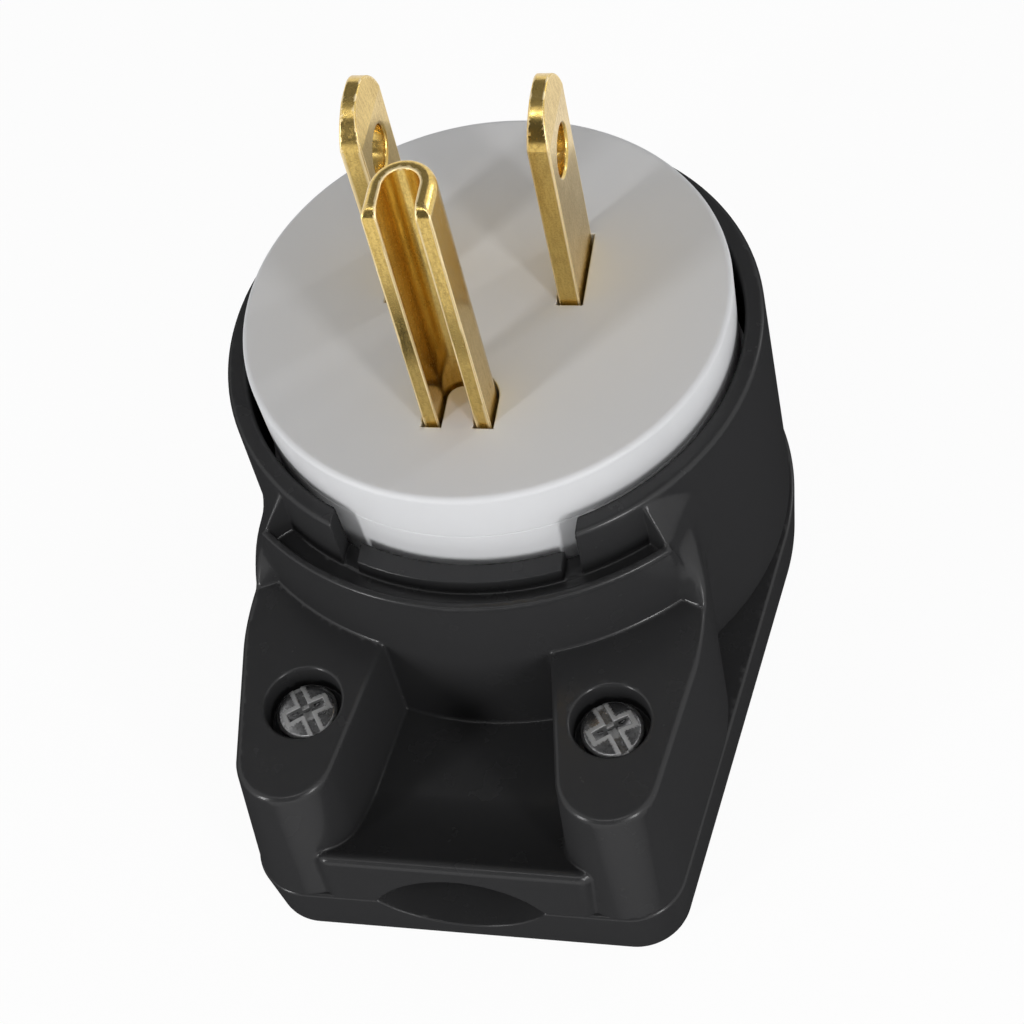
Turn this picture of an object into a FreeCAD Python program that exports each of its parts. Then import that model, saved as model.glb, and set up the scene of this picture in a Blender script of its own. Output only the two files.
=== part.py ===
import FreeCAD, Part
import math
import os

os.makedirs("parts", exist_ok=True)

# Angled three-prong plug, in millimetres.
# The origin is on the flat underside, below the axis of the round face. +Z is up, toward the
# blade tips. The cord end lies toward -Y, and X runs across the two flat blades.

# Heights above the underside.
SEAM_Z = 5.3
FLOOR_Z = 8.2
LIP_Z = 10.6
BOSS_Z = 16.75
GROOVE_Z = 21.5
LEDGE_Z = 23.0
RIM_Z = 26.1
FACE_Z = 29.5
SKIRT_Z = 25.2

# Base shell outline.
ROUND_R = 21.05
SIDE_TAPER = 9.3
FRONT_Y = -36.56
CORNER_R = 4.2
BASE_DRAFT = 0.23
BASE_FLOOR = 1.8
POST_IN = 16.2
POST_OUT = 18.5
POST_WIDTH = 3.2
POST_ANGLE = 45.0

# Collar and front wall of the top housing.
COLLAR_TOP_R = 19.9
COLLAR_FOOT_R = 20.65
ROUND_Y = COLLAR_FOOT_R - ROUND_R
COLLAR_BORE_R = 18.45
CAVITY_R = 19.0
SHOULDER_Z = 18.0
RIM_ROUND = 0.35
WALL_TOP_R = 22.2
WALL_FOOT_R = 23.1
WALL_ANGLE = 42.0
LIP_THICK = 0.45

# Trough floor between the bosses.
BLOCK_HALF = 10.2
BLOCK_CORNER_R = 1.2
BLOCK_REAR_Y = -18.0
FLOOR_END_Y = -29.3
TROUGH_RISE = (-32.2, 8.95)
LIP_ROUND = 0.8
FRONT_LEAN = 0.55

# Notch in the collar, with the low tab between two slits.
NOTCH_HALF = 8.57
TAB_HALF = 7.37
TAB_Z = 22.7
SLIT_Z = 21.6
NOTCH_REACH_R = 21.2
NOTCH_NEAR_Y = -14.0

# Gussets beside the pocket.
GUSSET_BEND_Z = 20.8
GUSSET_NEAR = ((12.85, -15.5), (14.85, -16.9), (15.65, -17.5), (16.85, -18.9))
GUSSET_FAR = ((15.9, -12.2), (15.95, -12.35), (16.1, -12.5), (16.2, -12.6))
GUSSET_ROOT_R = 18.8
GUSSET_ROOT_IN = 40.5
GUSSET_ROOT_OUT = 52.0

# Screw bosses.
SCREW_X = 11.05
SCREW_Y = -26.84
RECESS_R = 2.8
SCREW_HEAD_R = 2.25
SCREW_HEAD_Z = 15.75
SCREW_HEAD_H = 1.5
DRIVE_TURN = -57.0
DRIVE_SLOT = 0.55
DRIVE_CROSS = 0.7
DRIVE_DEPTH = 0.55
DRIVE_ARM = 0.62
SCREW_SHANK_R = 1.4
SCREW_TIP_Z = 0.7
SCREW_CLEAR = 0.25
BOSS_WALL = 1.8
BOSS_CORE_Z = 12.4
SCREW_TUBE_R = 3.5
BOSS_TIP = (11.4, -31.0)
BOSS_TIP_R = 3.6
BOSS_IN = (6.1, -21.7)
BOSS_OUT = (17.05, -19.6)
BOSS_FOOT_TIP = (11.7, -32.36)
BOSS_FOOT_IN = (5.95, -21.6)
BOSS_FOOT_OUT = (18.0, -20.3)
BOSS_REAR_Y = -18.5
BOSS_HUB_R = 20.4
BOSS_HUB_ANGLE = 52.5

# Square nuts in the underside.
NUT_SIDE = 5.5
NUT_H = 2.2
NUT_TOP_Z = 2.5
NUT_CLEAR = 0.1

# Cord entry.
ENTRY_HALF_W = 6.3
ENTRY_HALF_H = 3.6
GRIP_HALF_W = 5.4
GRIP_RISE = 1.7
GRIP_DEPTH = 3.2
GRIP_Y = -29.0
GRIP_END_Y = -17.0

# White face and carrier.
FACE_R = 17.87
FACE_PLATE = 2.4
FACE_SKIRT = 1.65
FACE_ROUND = 0.45
CARRIER_PLATE = 2.5
CUP_WALL = 1.55
FLANGE_R = 18.85
FLANGE_Z = 16.0
BARRIER_Z = 12.0
BARRIER_THICK = 1.5
BARRIER_GAP = 0.6
CROSS_HALF = 8.5
CROSS_Y = -4.95
FACE_POST_R = 2.6
FACE_POST_HOLE_Z = FACE_Z - 0.8

# Blades and ground pin.
BLADE_SPACING = 12.7
BLADE_Y = 2.74
BLADE_THICK = 1.52
BLADE_WIDTH = 6.35
BLADE_LENGTH = 18.3
BLADE_TIP_Z = FACE_Z + BLADE_LENGTH
BLADE_TAPER = 3.2
BLADE_TIP_HALF = 0.8
BLADE_TIP_THICK = 1.0
TIP_SHOULDER = 1.05
TIP_DROP = 1.0
BLADE_HOLE_R = 1.98
BLADE_HOLE_RISE = 12.0
BLADE_HOLE_Z = FACE_Z + BLADE_HOLE_RISE
SLOT_CLEAR = 0.2
CONTACT_FIT = 0.1
GROUND_OFFSET = 11.9
GROUND_WIDTH = 4.75
GROUND_SHEET = 1.07
GROUND_LEG_Y = -11.5
GROUND_LENGTH = 21.4
GROUND_TIP_Z = FACE_Z + GROUND_LENGTH
GROUND_TIP_ROUND = 0.6
GROUND_LEG_ROUND = 1.2

# Terminals.
FOOT_THICK = 1.5
FOOT_REACH = 3.3
GROUND_FOOT_SIDE = 0.6
GROUND_FOOT_Y = -15.9
TERMINAL_X = 11.2
GROUND_SCREW_Y = -13.3
TERMINAL_SHANK_R = 1.7
TERMINAL_HEAD_R = 2.8
TERMINAL_HEAD_H = 2.0
PRESSURE_THICK = 1.0
PRESSURE_SIDE = 6.4
GROUND_PRESSURE_HALF = 2.8
GROUND_PRESSURE_FRONT = 2.4
TERMINAL_SLOT = 0.9
TERMINAL_SLOT_DEPTH = 0.8
THREAD_FIT = 0.05
SHANK_CLEAR = 0.2

# Screws that hold the carrier to the face.
CARRIER_SCREWS = {"rear": (0.0, 12.2), "left": (-10.2, -8.8), "right": (10.2, -8.8)}
CARRIER_SCREW_R = 1.15
CARRIER_HEAD_R = 2.2
CARRIER_HEAD_H = 1.4
CARRIER_TIP_Z = FACE_Z - 1.2


def vec(x, y, z=0.0):
    return FreeCAD.Vector(x, y, z)


def polar(radius, angle, z=0.0):
    """Point at an angle measured from -Y toward +X."""
    turn = math.radians(angle)
    return vec(radius * math.sin(turn), -radius * math.cos(turn), z)


def box(x0, x1, y0, y1, z0, z1):
    return Part.makeBox(x1 - x0, y1 - y0, z1 - z0, vec(x0, y0, z0))


def cylinder(radius, z0, z1, x=0.0, y=0.0):
    return Part.makeCylinder(radius, z1 - z0, vec(x, y, z0))


def tube(outer, inner, z0, z1):
    return cylinder(outer, z0, z1).cut(cylinder(inner, z0 - 1.0, z1 + 1.0))


def mirror_x(shape):
    return shape.mirror(vec(0, 0), vec(1, 0))


def prism(points, z0, z1):
    wire = Part.makePolygon([vec(x, y, z0) for x, y in points + points[:1]])
    return Part.Face(wire).extrude(vec(0, 0, z1 - z0))


def revolve(profile):
    """Solid of revolution about Z from a closed list of edges in the XZ plane."""
    return Part.Face(Part.Wire(profile)).revolve(vec(0, 0), vec(0, 0, 1), 360)


def line(a, b):
    return Part.LineSegment(a, b).toShape()


def arc(a, middle, b):
    return Part.Arc(a, middle, b).toShape()


def fuse(shapes):
    whole = shapes[0]
    for shape in shapes[1:]:
        whole = whole.fuse(shape)
    return whole.removeSplitter()


def plate_wire(z, inset):
    """Outline of the base: a round end, two tapering sides and two rounded corners."""
    tilt = math.radians(SIDE_TAPER)
    round_r = ROUND_R - inset
    corner_r = CORNER_R - inset
    front = FRONT_Y + inset
    reach = round_r - ROUND_Y * math.sin(tilt)
    corner_y = front + corner_r
    corner_x = (reach - corner_r + corner_y * math.sin(tilt)) / math.cos(tilt)
    out = vec(math.cos(tilt), -math.sin(tilt))
    half = math.radians((90.0 - SIDE_TAPER) / 2)
    side_top = vec(0, ROUND_Y, z) + out * round_r
    side_low = vec(corner_x, corner_y, z) + out * corner_r
    bend = vec(corner_x + corner_r * math.sin(half), corner_y - corner_r * math.cos(half), z)
    front_end = vec(corner_x, front, z)
    flip = lambda p: vec(-p.x, p.y, p.z)
    return Part.Wire([
        arc(side_top, vec(0, ROUND_Y + round_r, z), flip(side_top)),
        line(flip(side_top), flip(side_low)),
        arc(flip(side_low), flip(bend), flip(front_end)),
        line(flip(front_end), front_end),
        arc(front_end, bend, side_low),
        line(side_low, side_top),
    ])


def boss_wire(z, tip, tip_r, inner, outer, back, hub):
    """Outline of one screw boss: straight flanks around a round tip, open to the collar."""
    centre = vec(tip[0], tip[1], z)
    start = vec(inner[0], inner[1], z)
    end = vec(outer[0], outer[1], z)
    start_touch = tangent_point(centre, tip_r, start, 1)
    end_touch = tangent_point(centre, tip_r, end, -1)
    rear = vec(back[0], back[1], z)
    close = vec(hub[0], hub[1], z)
    return Part.Wire([
        line(rear, start),
        line(start, start_touch),
        arc(start_touch, vec(tip[0], tip[1] - tip_r, z), end_touch),
        line(end_touch, end),
        line(end, close),
        line(close, rear),
    ])


def tangent_point(centre, radius, start, side):
    """Where the line from a point touches a circle, on one side of it."""
    dx = centre.x - start.x
    dy = centre.y - start.y
    span = math.hypot(dx, dy)
    reach = math.sqrt(span * span - radius * radius)
    turn = side * math.asin(radius / span) * -1
    heading = math.atan2(dy, dx) + turn
    return vec(start.x + reach * math.cos(heading), start.y + reach * math.sin(heading), start.z)


def boss():
    hub = polar(BOSS_HUB_R, BOSS_HUB_ANGLE)
    foot = boss_wire(SEAM_Z, BOSS_FOOT_TIP, CORNER_R, BOSS_FOOT_IN, BOSS_FOOT_OUT,
                     (BOSS_FOOT_IN[0], BOSS_REAR_Y), (hub.x, hub.y))
    top = boss_wire(BOSS_Z, BOSS_TIP, BOSS_TIP_R, BOSS_IN, BOSS_OUT,
                    (BOSS_IN[0], BOSS_REAR_Y), (hub.x, hub.y))
    return Part.makeLoft([foot, top], True, True)


def boss_hollow():
    """Cored space in a boss around the tube that guides its screw."""
    inner = (BOSS_IN[0] + BOSS_WALL, BOSS_IN[1] - BOSS_WALL)
    outer = (BOSS_OUT[0] - BOSS_WALL, BOSS_OUT[1] - BOSS_WALL)
    wire = boss_wire(SEAM_Z - 0.01, BOSS_TIP, BOSS_TIP_R - BOSS_WALL, inner, outer,
                     (inner[0], inner[1] + 0.6), (outer[0] - 0.6, outer[1] + 0.6))
    space = Part.Face(wire).extrude(vec(0, 0, BOSS_CORE_Z - SEAM_Z))
    return space.cut(cylinder(SCREW_TUBE_R, SEAM_Z - 1, BOSS_Z, SCREW_X, SCREW_Y))


def gusset():
    """Web beside the pocket, which widens from the rim down to the rear corner of a boss."""
    wires = []
    heights = (RIM_Z - RIM_ROUND, LEDGE_Z, GUSSET_BEND_Z, BOSS_Z - 0.05)
    for near, far, z in zip(GUSSET_NEAR, GUSSET_FAR, heights):
        corners = [vec(near[0], near[1], z), vec(far[0], far[1], z),
                   polar(GUSSET_ROOT_R, GUSSET_ROOT_OUT, z), polar(GUSSET_ROOT_R, GUSSET_ROOT_IN, z)]
        wires.append(Part.makePolygon(corners + corners[:1]))
    return Part.makeLoft(wires, True, True)


def collar():
    """Round tower with a rounded rim, flaring slightly toward its foot."""
    r = RIM_ROUND
    top = RIM_Z
    k = r * (1 - math.sqrt(0.5))
    edge = [
        line(vec(0, 0, SEAM_Z), vec(COLLAR_FOOT_R, 0, SEAM_Z)),
        line(vec(COLLAR_FOOT_R, 0, SEAM_Z), vec(COLLAR_TOP_R, 0, top - r)),
        arc(vec(COLLAR_TOP_R, 0, top - r), vec(COLLAR_TOP_R - k, 0, top - k), vec(COLLAR_TOP_R - r, 0, top)),
        line(vec(COLLAR_TOP_R - r, 0, top), vec(0, 0, top)),
        line(vec(0, 0, top), vec(0, 0, SEAM_Z)),
    ]
    return revolve(edge)


def bore():
    """Space inside the collar: cavity, shoulder, bore and rounded inner rim."""
    r = RIM_ROUND
    b = COLLAR_BORE_R
    top = RIM_Z
    k = r * (1 - math.sqrt(0.5))
    low = SEAM_Z - 1.0
    edge = [
        line(vec(0, 0, low), vec(CAVITY_R, 0, low)),
        line(vec(CAVITY_R, 0, low), vec(CAVITY_R, 0, SHOULDER_Z)),
        line(vec(CAVITY_R, 0, SHOULDER_Z), vec(b, 0, SHOULDER_Z)),
        line(vec(b, 0, SHOULDER_Z), vec(b, 0, top - r)),
        arc(vec(b, 0, top - r), vec(b + k, 0, top - k), vec(b + r, 0, top)),
        line(vec(b + r, 0, top), vec(b + r, 0, top + 2)),
        line(vec(b + r, 0, top + 2), vec(0, 0, top + 2)),
        line(vec(0, 0, top + 2), vec(0, 0, low)),
    ]
    return revolve(edge)


def sector(angle, z0, z1):
    """Wedge that opens toward the cord end."""
    far = 60.0
    side = far * math.tan(math.radians(angle))
    return prism([(0, 0), (-side, -far), (side, -far)], z0, z1)


def front_wall():
    """Sloping wall in front of the collar, with the open groove behind its thin lip."""
    cone = Part.makeCone(WALL_FOOT_R, WALL_TOP_R, LEDGE_Z - SEAM_Z, vec(0, 0, SEAM_Z))
    moat = cylinder(WALL_TOP_R - LIP_THICK, GROOVE_Z, LEDGE_Z + 1)
    return cone.cut(moat).common(sector(WALL_ANGLE, SEAM_Z - 1, LEDGE_Z + 2))


def front_block():
    """Trough floor between the bosses, rising to the rounded lip over the cord entry."""
    half = BLOCK_HALF
    r = LIP_ROUND
    face_top = FRONT_Y + FRONT_LEAN
    rise = vec(-half, TROUGH_RISE[0], TROUGH_RISE[1])
    floor_end = vec(-half, FLOOR_END_Y, FLOOR_Z)
    nose = vec(-half, face_top + r, LIP_Z - r)
    k = math.sqrt(0.5) * r
    edges = [
        line(vec(-half, BLOCK_REAR_Y, SEAM_Z), vec(-half, FRONT_Y, SEAM_Z)),
        line(vec(-half, FRONT_Y, SEAM_Z), vec(-half, face_top, LIP_Z - r)),
        arc(vec(-half, face_top, LIP_Z - r), nose + vec(0, -k, k), vec(-half, face_top + r, LIP_Z)),
        arc(vec(-half, face_top + r, LIP_Z), rise, floor_end),
        line(floor_end, vec(-half, BLOCK_REAR_Y, FLOOR_Z)),
        line(vec(-half, BLOCK_REAR_Y, FLOOR_Z), vec(-half, BLOCK_REAR_Y, SEAM_Z)),
    ]
    block = Part.Face(Part.Wire(edges)).extrude(vec(2 * half, 0, 0))
    return block.common(block_plan())


def block_plan():
    """Plan of the trough block, its two front corners rounded."""
    half = BLOCK_HALF
    r = BLOCK_CORNER_R
    k = r * (1 - math.sqrt(0.5))
    low = SEAM_Z - 1.0
    front = FRONT_Y
    rear = BLOCK_REAR_Y
    outline = Part.Wire([
        line(vec(-half, rear, low), vec(-half, front + r, low)),
        arc(vec(-half, front + r, low), vec(k - half, front + k, low), vec(r - half, front, low)),
        line(vec(r - half, front, low), vec(half - r, front, low)),
        arc(vec(half - r, front, low), vec(half - k, front + k, low), vec(half, front + r, low)),
        line(vec(half, front + r, low), vec(half, rear, low)),
        line(vec(half, rear, low), vec(-half, rear, low)),
    ])
    return Part.Face(outline).extrude(vec(0, 0, BOSS_Z))


def lens_wire(y, half_w, rise, depth):
    left = vec(-half_w, y, SEAM_Z)
    right = vec(half_w, y, SEAM_Z)
    return Part.Wire([
        arc(left, vec(0, y, SEAM_Z + rise), right),
        arc(right, vec(0, y, SEAM_Z - depth), left),
    ])


def cord_way():
    """Lens-shaped entry that narrows to the grip and runs on into the cavity."""
    outer = lens_wire(FRONT_Y - 1.0, ENTRY_HALF_W, ENTRY_HALF_H, ENTRY_HALF_H)
    inner = lens_wire(GRIP_Y, GRIP_HALF_W, GRIP_RISE, GRIP_DEPTH)
    mouth = Part.makeLoft([outer, inner], True, True)
    grip = Part.Face(inner).extrude(vec(0, GRIP_END_Y - GRIP_Y, 0))
    return mouth.fuse(grip)


def top_housing():
    shell = fuse([collar(), front_wall(), front_block(), boss(), mirror_x(boss()),
                  gusset(), mirror_x(gusset())])
    hollow = boss_hollow()
    cuts = [bore(), cord_way(), hollow, mirror_x(hollow)]
    reach = cylinder(NOTCH_REACH_R, SLIT_Z - 1, RIM_Z + 2)
    far = -NOTCH_REACH_R
    cuts.append(box(-NOTCH_HALF, NOTCH_HALF, far, NOTCH_NEAR_Y, TAB_Z, RIM_Z + 1).common(reach))
    for side in (-1, 1):
        low = min(side * TAB_HALF, side * NOTCH_HALF)
        high = max(side * TAB_HALF, side * NOTCH_HALF)
        cuts.append(box(low, high, far, NOTCH_NEAR_Y, SLIT_Z, TAB_Z + 1).common(reach))
        x = side * SCREW_X
        cuts.append(cylinder(RECESS_R, SCREW_HEAD_Z - SCREW_HEAD_H, BOSS_Z + 1, x, SCREW_Y))
        cuts.append(cylinder(SCREW_SHANK_R + SCREW_CLEAR, SEAM_Z - 1, BOSS_Z, x, SCREW_Y))
    for cut in cuts:
        shell = shell.cut(cut)
    return shell.removeSplitter()


def support_posts():
    """Four posts in the base that hold the carrier up against the shoulder."""
    posts = []
    half = POST_WIDTH / 2
    for quarter in range(4):
        post = box(POST_IN, POST_OUT, -half, half, BASE_FLOOR - 0.2, FLANGE_Z)
        post.rotate(vec(0, 0), vec(0, 0, 1), POST_ANGLE + 90.0 * quarter)
        posts.append(post)
    return posts


def base_shell():
    slab = Part.makeLoft([plate_wire(0.0, BASE_DRAFT), plate_wire(SEAM_Z, 0.0)], True, True)
    slab = slab.cut(cylinder(CAVITY_R - 0.2, BASE_FLOOR, SEAM_Z + 1))
    slab = slab.cut(cord_way())
    slab = fuse([slab] + support_posts())
    half = NUT_SIDE / 2 + NUT_CLEAR
    for side in (-1, 1):
        x = side * SCREW_X
        slab = slab.cut(box(x - half, x + half, SCREW_Y - half, SCREW_Y + half, -1.0, NUT_TOP_Z))
        slab = slab.cut(cylinder(SCREW_SHANK_R + SCREW_CLEAR, 0.0, SEAM_Z + 1, x, SCREW_Y))
    return slab.removeSplitter()


def ground_section(z, grow, length):
    """U-shaped section of the ground pin, grown outward for its slot."""
    y = BLADE_Y - GROUND_OFFSET
    outer = GROUND_WIDTH / 2 + grow
    inner = GROUND_WIDTH / 2 - GROUND_SHEET - grow
    low = GROUND_LEG_Y - grow
    ring = cylinder(outer, z, z + length, 0, y).cut(cylinder(inner, z, z + length, 0, y))
    ring = ring.common(box(-5, 5, y, y + 5, z, z + length))
    legs = box(-outer, -inner, low, y, z, z + length).fuse(box(inner, outer, low, y, z, z + length))
    return ring.fuse(legs).removeSplitter()


def blade_slot(side, z0, z1, clear):
    x = side * BLADE_SPACING / 2
    half = BLADE_THICK / 2 + clear
    wide = BLADE_WIDTH / 2 + clear
    return box(x - half, x + half, BLADE_Y - wide, BLADE_Y + wide, z0, z1)


def face_disc():
    """White face: a round-edged plate on a short skirt, with three slots and screw posts."""
    r = FACE_ROUND
    k = r * (1 - math.sqrt(0.5))
    under = FACE_Z - FACE_PLATE
    inside = FACE_R - FACE_SKIRT
    disc = revolve([
        line(vec(0, 0, under), vec(inside, 0, under)),
        line(vec(inside, 0, under), vec(inside, 0, SKIRT_Z)),
        line(vec(inside, 0, SKIRT_Z), vec(FACE_R, 0, SKIRT_Z)),
        line(vec(FACE_R, 0, SKIRT_Z), vec(FACE_R, 0, FACE_Z - r)),
        arc(vec(FACE_R, 0, FACE_Z - r), vec(FACE_R - k, 0, FACE_Z - k), vec(FACE_R - r, 0, FACE_Z)),
        line(vec(FACE_R - r, 0, FACE_Z), vec(0, 0, FACE_Z)),
        line(vec(0, 0, FACE_Z), vec(0, 0, under)),
    ])
    posts = [cylinder(FACE_POST_R, SKIRT_Z, under + 0.1, x, y) for x, y in CARRIER_SCREWS.values()]
    disc = fuse([disc] + posts)
    for x, y in CARRIER_SCREWS.values():
        disc = disc.cut(cylinder(CARRIER_SCREW_R + THREAD_FIT, SKIRT_Z - 1, FACE_POST_HOLE_Z, x, y))
    for side in (-1, 1):
        disc = disc.cut(blade_slot(side, under - 1, FACE_Z + 1, SLOT_CLEAR))
    return disc.cut(ground_section(under - 1, SLOT_CLEAR, FACE_PLATE + 2)).removeSplitter()


def contact_carrier():
    """White cup under the face: plate, skirt, trapped flange and barriers between terminals."""
    plate_low = SKIRT_Z - CARRIER_PLATE
    inside = FACE_R - CUP_WALL
    cup = cylinder(FACE_R, FLANGE_Z, SKIRT_Z).fuse(cylinder(FLANGE_R, FLANGE_Z, SHOULDER_Z))
    cup = cup.cut(cylinder(inside, FLANGE_Z - 1, plate_low))
    half = BARRIER_THICK / 2
    walls = [box(-half, half, CROSS_Y, inside - BARRIER_GAP, BARRIER_Z, plate_low + 0.1),
             box(-CROSS_HALF, CROSS_HALF, CROSS_Y - half, CROSS_Y + half, BARRIER_Z, plate_low + 0.1)]
    cup = fuse([cup] + walls)
    rear_x, rear_y = CARRIER_SCREWS["rear"]
    cup = cup.cut(cylinder(CARRIER_HEAD_R + 0.3, BARRIER_Z - 1, plate_low, rear_x, rear_y))
    for x, y in CARRIER_SCREWS.values():
        cup = cup.cut(cylinder(CARRIER_SCREW_R + SHANK_CLEAR, plate_low - 1, SKIRT_Z + 1, x, y))
    for side in (-1, 1):
        cup = cup.cut(blade_slot(side, plate_low - 1, SKIRT_Z + 1, CONTACT_FIT))
    for x, y in terminal_places().values():
        cup = cup.cut(cylinder(TERMINAL_SHANK_R + SHANK_CLEAR, plate_low - 1, SKIRT_Z + 1, x, y))
    return cup.cut(ground_section(plate_low - 1, CONTACT_FIT, CARRIER_PLATE + 2)).removeSplitter()


def terminal_places():
    return {"line": (-TERMINAL_X, BLADE_Y), "neutral": (TERMINAL_X, BLADE_Y), "ground": (0.0, GROUND_SCREW_Y)}


def flat_blade(side):
    """Flat blade with a coined, tapered tip, a cross hole and a bent terminal foot."""
    x = side * BLADE_SPACING / 2
    foot_top = SKIRT_Z - CARRIER_PLATE
    foot_low = foot_top - FOOT_THICK
    half = BLADE_WIDTH / 2
    tip = BLADE_TIP_Z
    start = tip - BLADE_TAPER
    face_x = x - BLADE_THICK / 2
    flat = BLADE_TIP_HALF
    bend = half - TIP_SHOULDER
    shape = [
        line(vec(face_x, BLADE_Y - half, foot_low), vec(face_x, BLADE_Y + half, foot_low)),
        line(vec(face_x, BLADE_Y + half, foot_low), vec(face_x, BLADE_Y + half, start)),
        arc(vec(face_x, BLADE_Y + half, start), vec(face_x, BLADE_Y + bend, tip - TIP_DROP),
            vec(face_x, BLADE_Y + flat, tip)),
        line(vec(face_x, BLADE_Y + flat, tip), vec(face_x, BLADE_Y - flat, tip)),
        arc(vec(face_x, BLADE_Y - flat, tip), vec(face_x, BLADE_Y - bend, tip - TIP_DROP),
            vec(face_x, BLADE_Y - half, start)),
        line(vec(face_x, BLADE_Y - half, start), vec(face_x, BLADE_Y - half, foot_low)),
    ]
    blade = Part.Face(Part.Wire(shape)).extrude(vec(BLADE_THICK, 0, 0)).common(tip_wedge(x, foot_low))
    hole = Part.makeCylinder(BLADE_HOLE_R, 10, vec(x - 5, BLADE_Y, BLADE_HOLE_Z), vec(1, 0, 0))
    blade = blade.cut(hole)
    near = x - side * BLADE_THICK / 2
    far = side * (TERMINAL_X + FOOT_REACH)
    foot = box(min(near, far), max(near, far), BLADE_Y - half, BLADE_Y + half, foot_low, foot_top)
    blade = fuse([blade, foot])
    screw_x = side * TERMINAL_X
    return blade.cut(cylinder(TERMINAL_SHANK_R + THREAD_FIT, foot_low - 1, foot_top + 1, screw_x, BLADE_Y))


def tip_wedge(x, low):
    """Block as thick as a blade, thinned on both sides toward the coined tip."""
    half = BLADE_THICK / 2
    thin = BLADE_TIP_THICK / 2
    start = BLADE_TIP_Z - BLADE_TAPER
    y = BLADE_Y - BLADE_WIDTH
    corners = [vec(x - half, y, low), vec(x + half, y, low), vec(x + half, y, start),
               vec(x + thin, y, BLADE_TIP_Z), vec(x - thin, y, BLADE_TIP_Z), vec(x - half, y, start)]
    return Part.Face(Part.makePolygon(corners + corners[:1])).extrude(vec(0, 2 * BLADE_WIDTH, 0))


def pin_tip_envelope(low):
    """Rounded bullet that trims the tip: coined outer edge and rounded leg corners."""
    y = BLADE_Y - GROUND_OFFSET
    half = GROUND_WIDTH / 2
    top = GROUND_TIP_Z
    r = GROUND_TIP_ROUND
    leg = GROUND_LEG_ROUND
    k = r * (1 - math.sqrt(0.5))
    dome = revolve([
        line(vec(0, 0, low), vec(half, 0, low)),
        line(vec(half, 0, low), vec(half, 0, top - r)),
        arc(vec(half, 0, top - r), vec(half - k, 0, top - k), vec(half - r, 0, top)),
        line(vec(half - r, 0, top), vec(0, 0, top)),
        line(vec(0, 0, top), vec(0, 0, low)),
    ])
    dome.translate(vec(0, y, 0))
    k = leg * (1 - math.sqrt(0.5))
    front = GROUND_LEG_Y
    side = [
        line(vec(-half, y, low), vec(-half, front, low)),
        line(vec(-half, front, low), vec(-half, front, top - leg)),
        arc(vec(-half, front, top - leg), vec(-half, front + k, top - k), vec(-half, front + leg, top)),
        line(vec(-half, front + leg, top), vec(-half, y, top)),
        line(vec(-half, y, top), vec(-half, y, low)),
    ]
    legs = Part.Face(Part.Wire(side)).extrude(vec(GROUND_WIDTH, 0, 0))
    across = [
        line(vec(-half, front, low), vec(half, front, low)),
        line(vec(half, front, low), vec(half, front, top - r)),
        line(vec(half, front, top - r), vec(half - r, front, top)),
        line(vec(half - r, front, top), vec(r - half, front, top)),
        line(vec(r - half, front, top), vec(-half, front, top - r)),
        line(vec(-half, front, top - r), vec(-half, front, low)),
    ]
    slopes = Part.Face(Part.Wire(across)).extrude(vec(0, y - front, 0))
    return dome.fuse(legs.common(slopes))


def ground_pin():
    """Folded U-shaped pin with a coined tip edge and a flat terminal foot."""
    foot_top = SKIRT_Z - CARRIER_PLATE
    foot_low = foot_top - FOOT_THICK
    y = BLADE_Y - GROUND_OFFSET
    half = GROUND_WIDTH / 2
    pin = ground_section(foot_low, 0.0, GROUND_TIP_Z - foot_low).common(pin_tip_envelope(foot_low))
    reach = half + GROUND_FOOT_SIDE
    foot = box(-reach, reach, GROUND_FOOT_Y, y + half, foot_low, foot_top)
    pin = fuse([pin, foot])
    return pin.cut(cylinder(TERMINAL_SHANK_R + THREAD_FIT, foot_low - 1, foot_top + 1, 0, GROUND_SCREW_Y))


def pressure_plate(place):
    x, y = place
    half = PRESSURE_SIDE / 2 if x else GROUND_PRESSURE_HALF
    top = SKIRT_Z - CARRIER_PLATE - FOOT_THICK
    front = half if x else GROUND_PRESSURE_FRONT
    plate = box(x - half, x + half, y - front, y + half, top - PRESSURE_THICK, top)
    return plate.cut(cylinder(TERMINAL_SHANK_R + SHANK_CLEAR, top - 5, top + 1, x, y))


def terminal_screw(place):
    x, y = place
    bearing = SKIRT_Z - CARRIER_PLATE - FOOT_THICK - PRESSURE_THICK
    head = cylinder(TERMINAL_HEAD_R, bearing - TERMINAL_HEAD_H, bearing, x, y)
    shank = cylinder(TERMINAL_SHANK_R, bearing - 0.5, SKIRT_Z - 0.2, x, y)
    half = TERMINAL_SLOT / 2
    low = bearing - TERMINAL_HEAD_H
    slot = box(x - half, x + half, y - 4, y + 4, low - 1, low + TERMINAL_SLOT_DEPTH)
    return fuse([head, shank]).cut(slot)


def housing_screw(side):
    x = side * SCREW_X
    bearing = SCREW_HEAD_Z - SCREW_HEAD_H
    head = cylinder(SCREW_HEAD_R, bearing, SCREW_HEAD_Z, x, SCREW_Y)
    shank = cylinder(SCREW_SHANK_R, SCREW_TIP_Z, bearing + 0.5, x, SCREW_Y)
    reach = SCREW_HEAD_R + 1
    low = SCREW_HEAD_Z - DRIVE_DEPTH
    slot = box(-reach, reach, -DRIVE_SLOT / 2, DRIVE_SLOT / 2, low, SCREW_HEAD_Z + 1)
    arm = SCREW_HEAD_R * DRIVE_ARM
    cross = box(-DRIVE_CROSS / 2, DRIVE_CROSS / 2, -arm, arm, low, SCREW_HEAD_Z + 1)
    drive = slot.fuse(cross)
    drive.rotate(vec(0, 0), vec(0, 0, 1), DRIVE_TURN)
    drive.translate(vec(x, SCREW_Y))
    return fuse([head, shank]).cut(drive)


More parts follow.
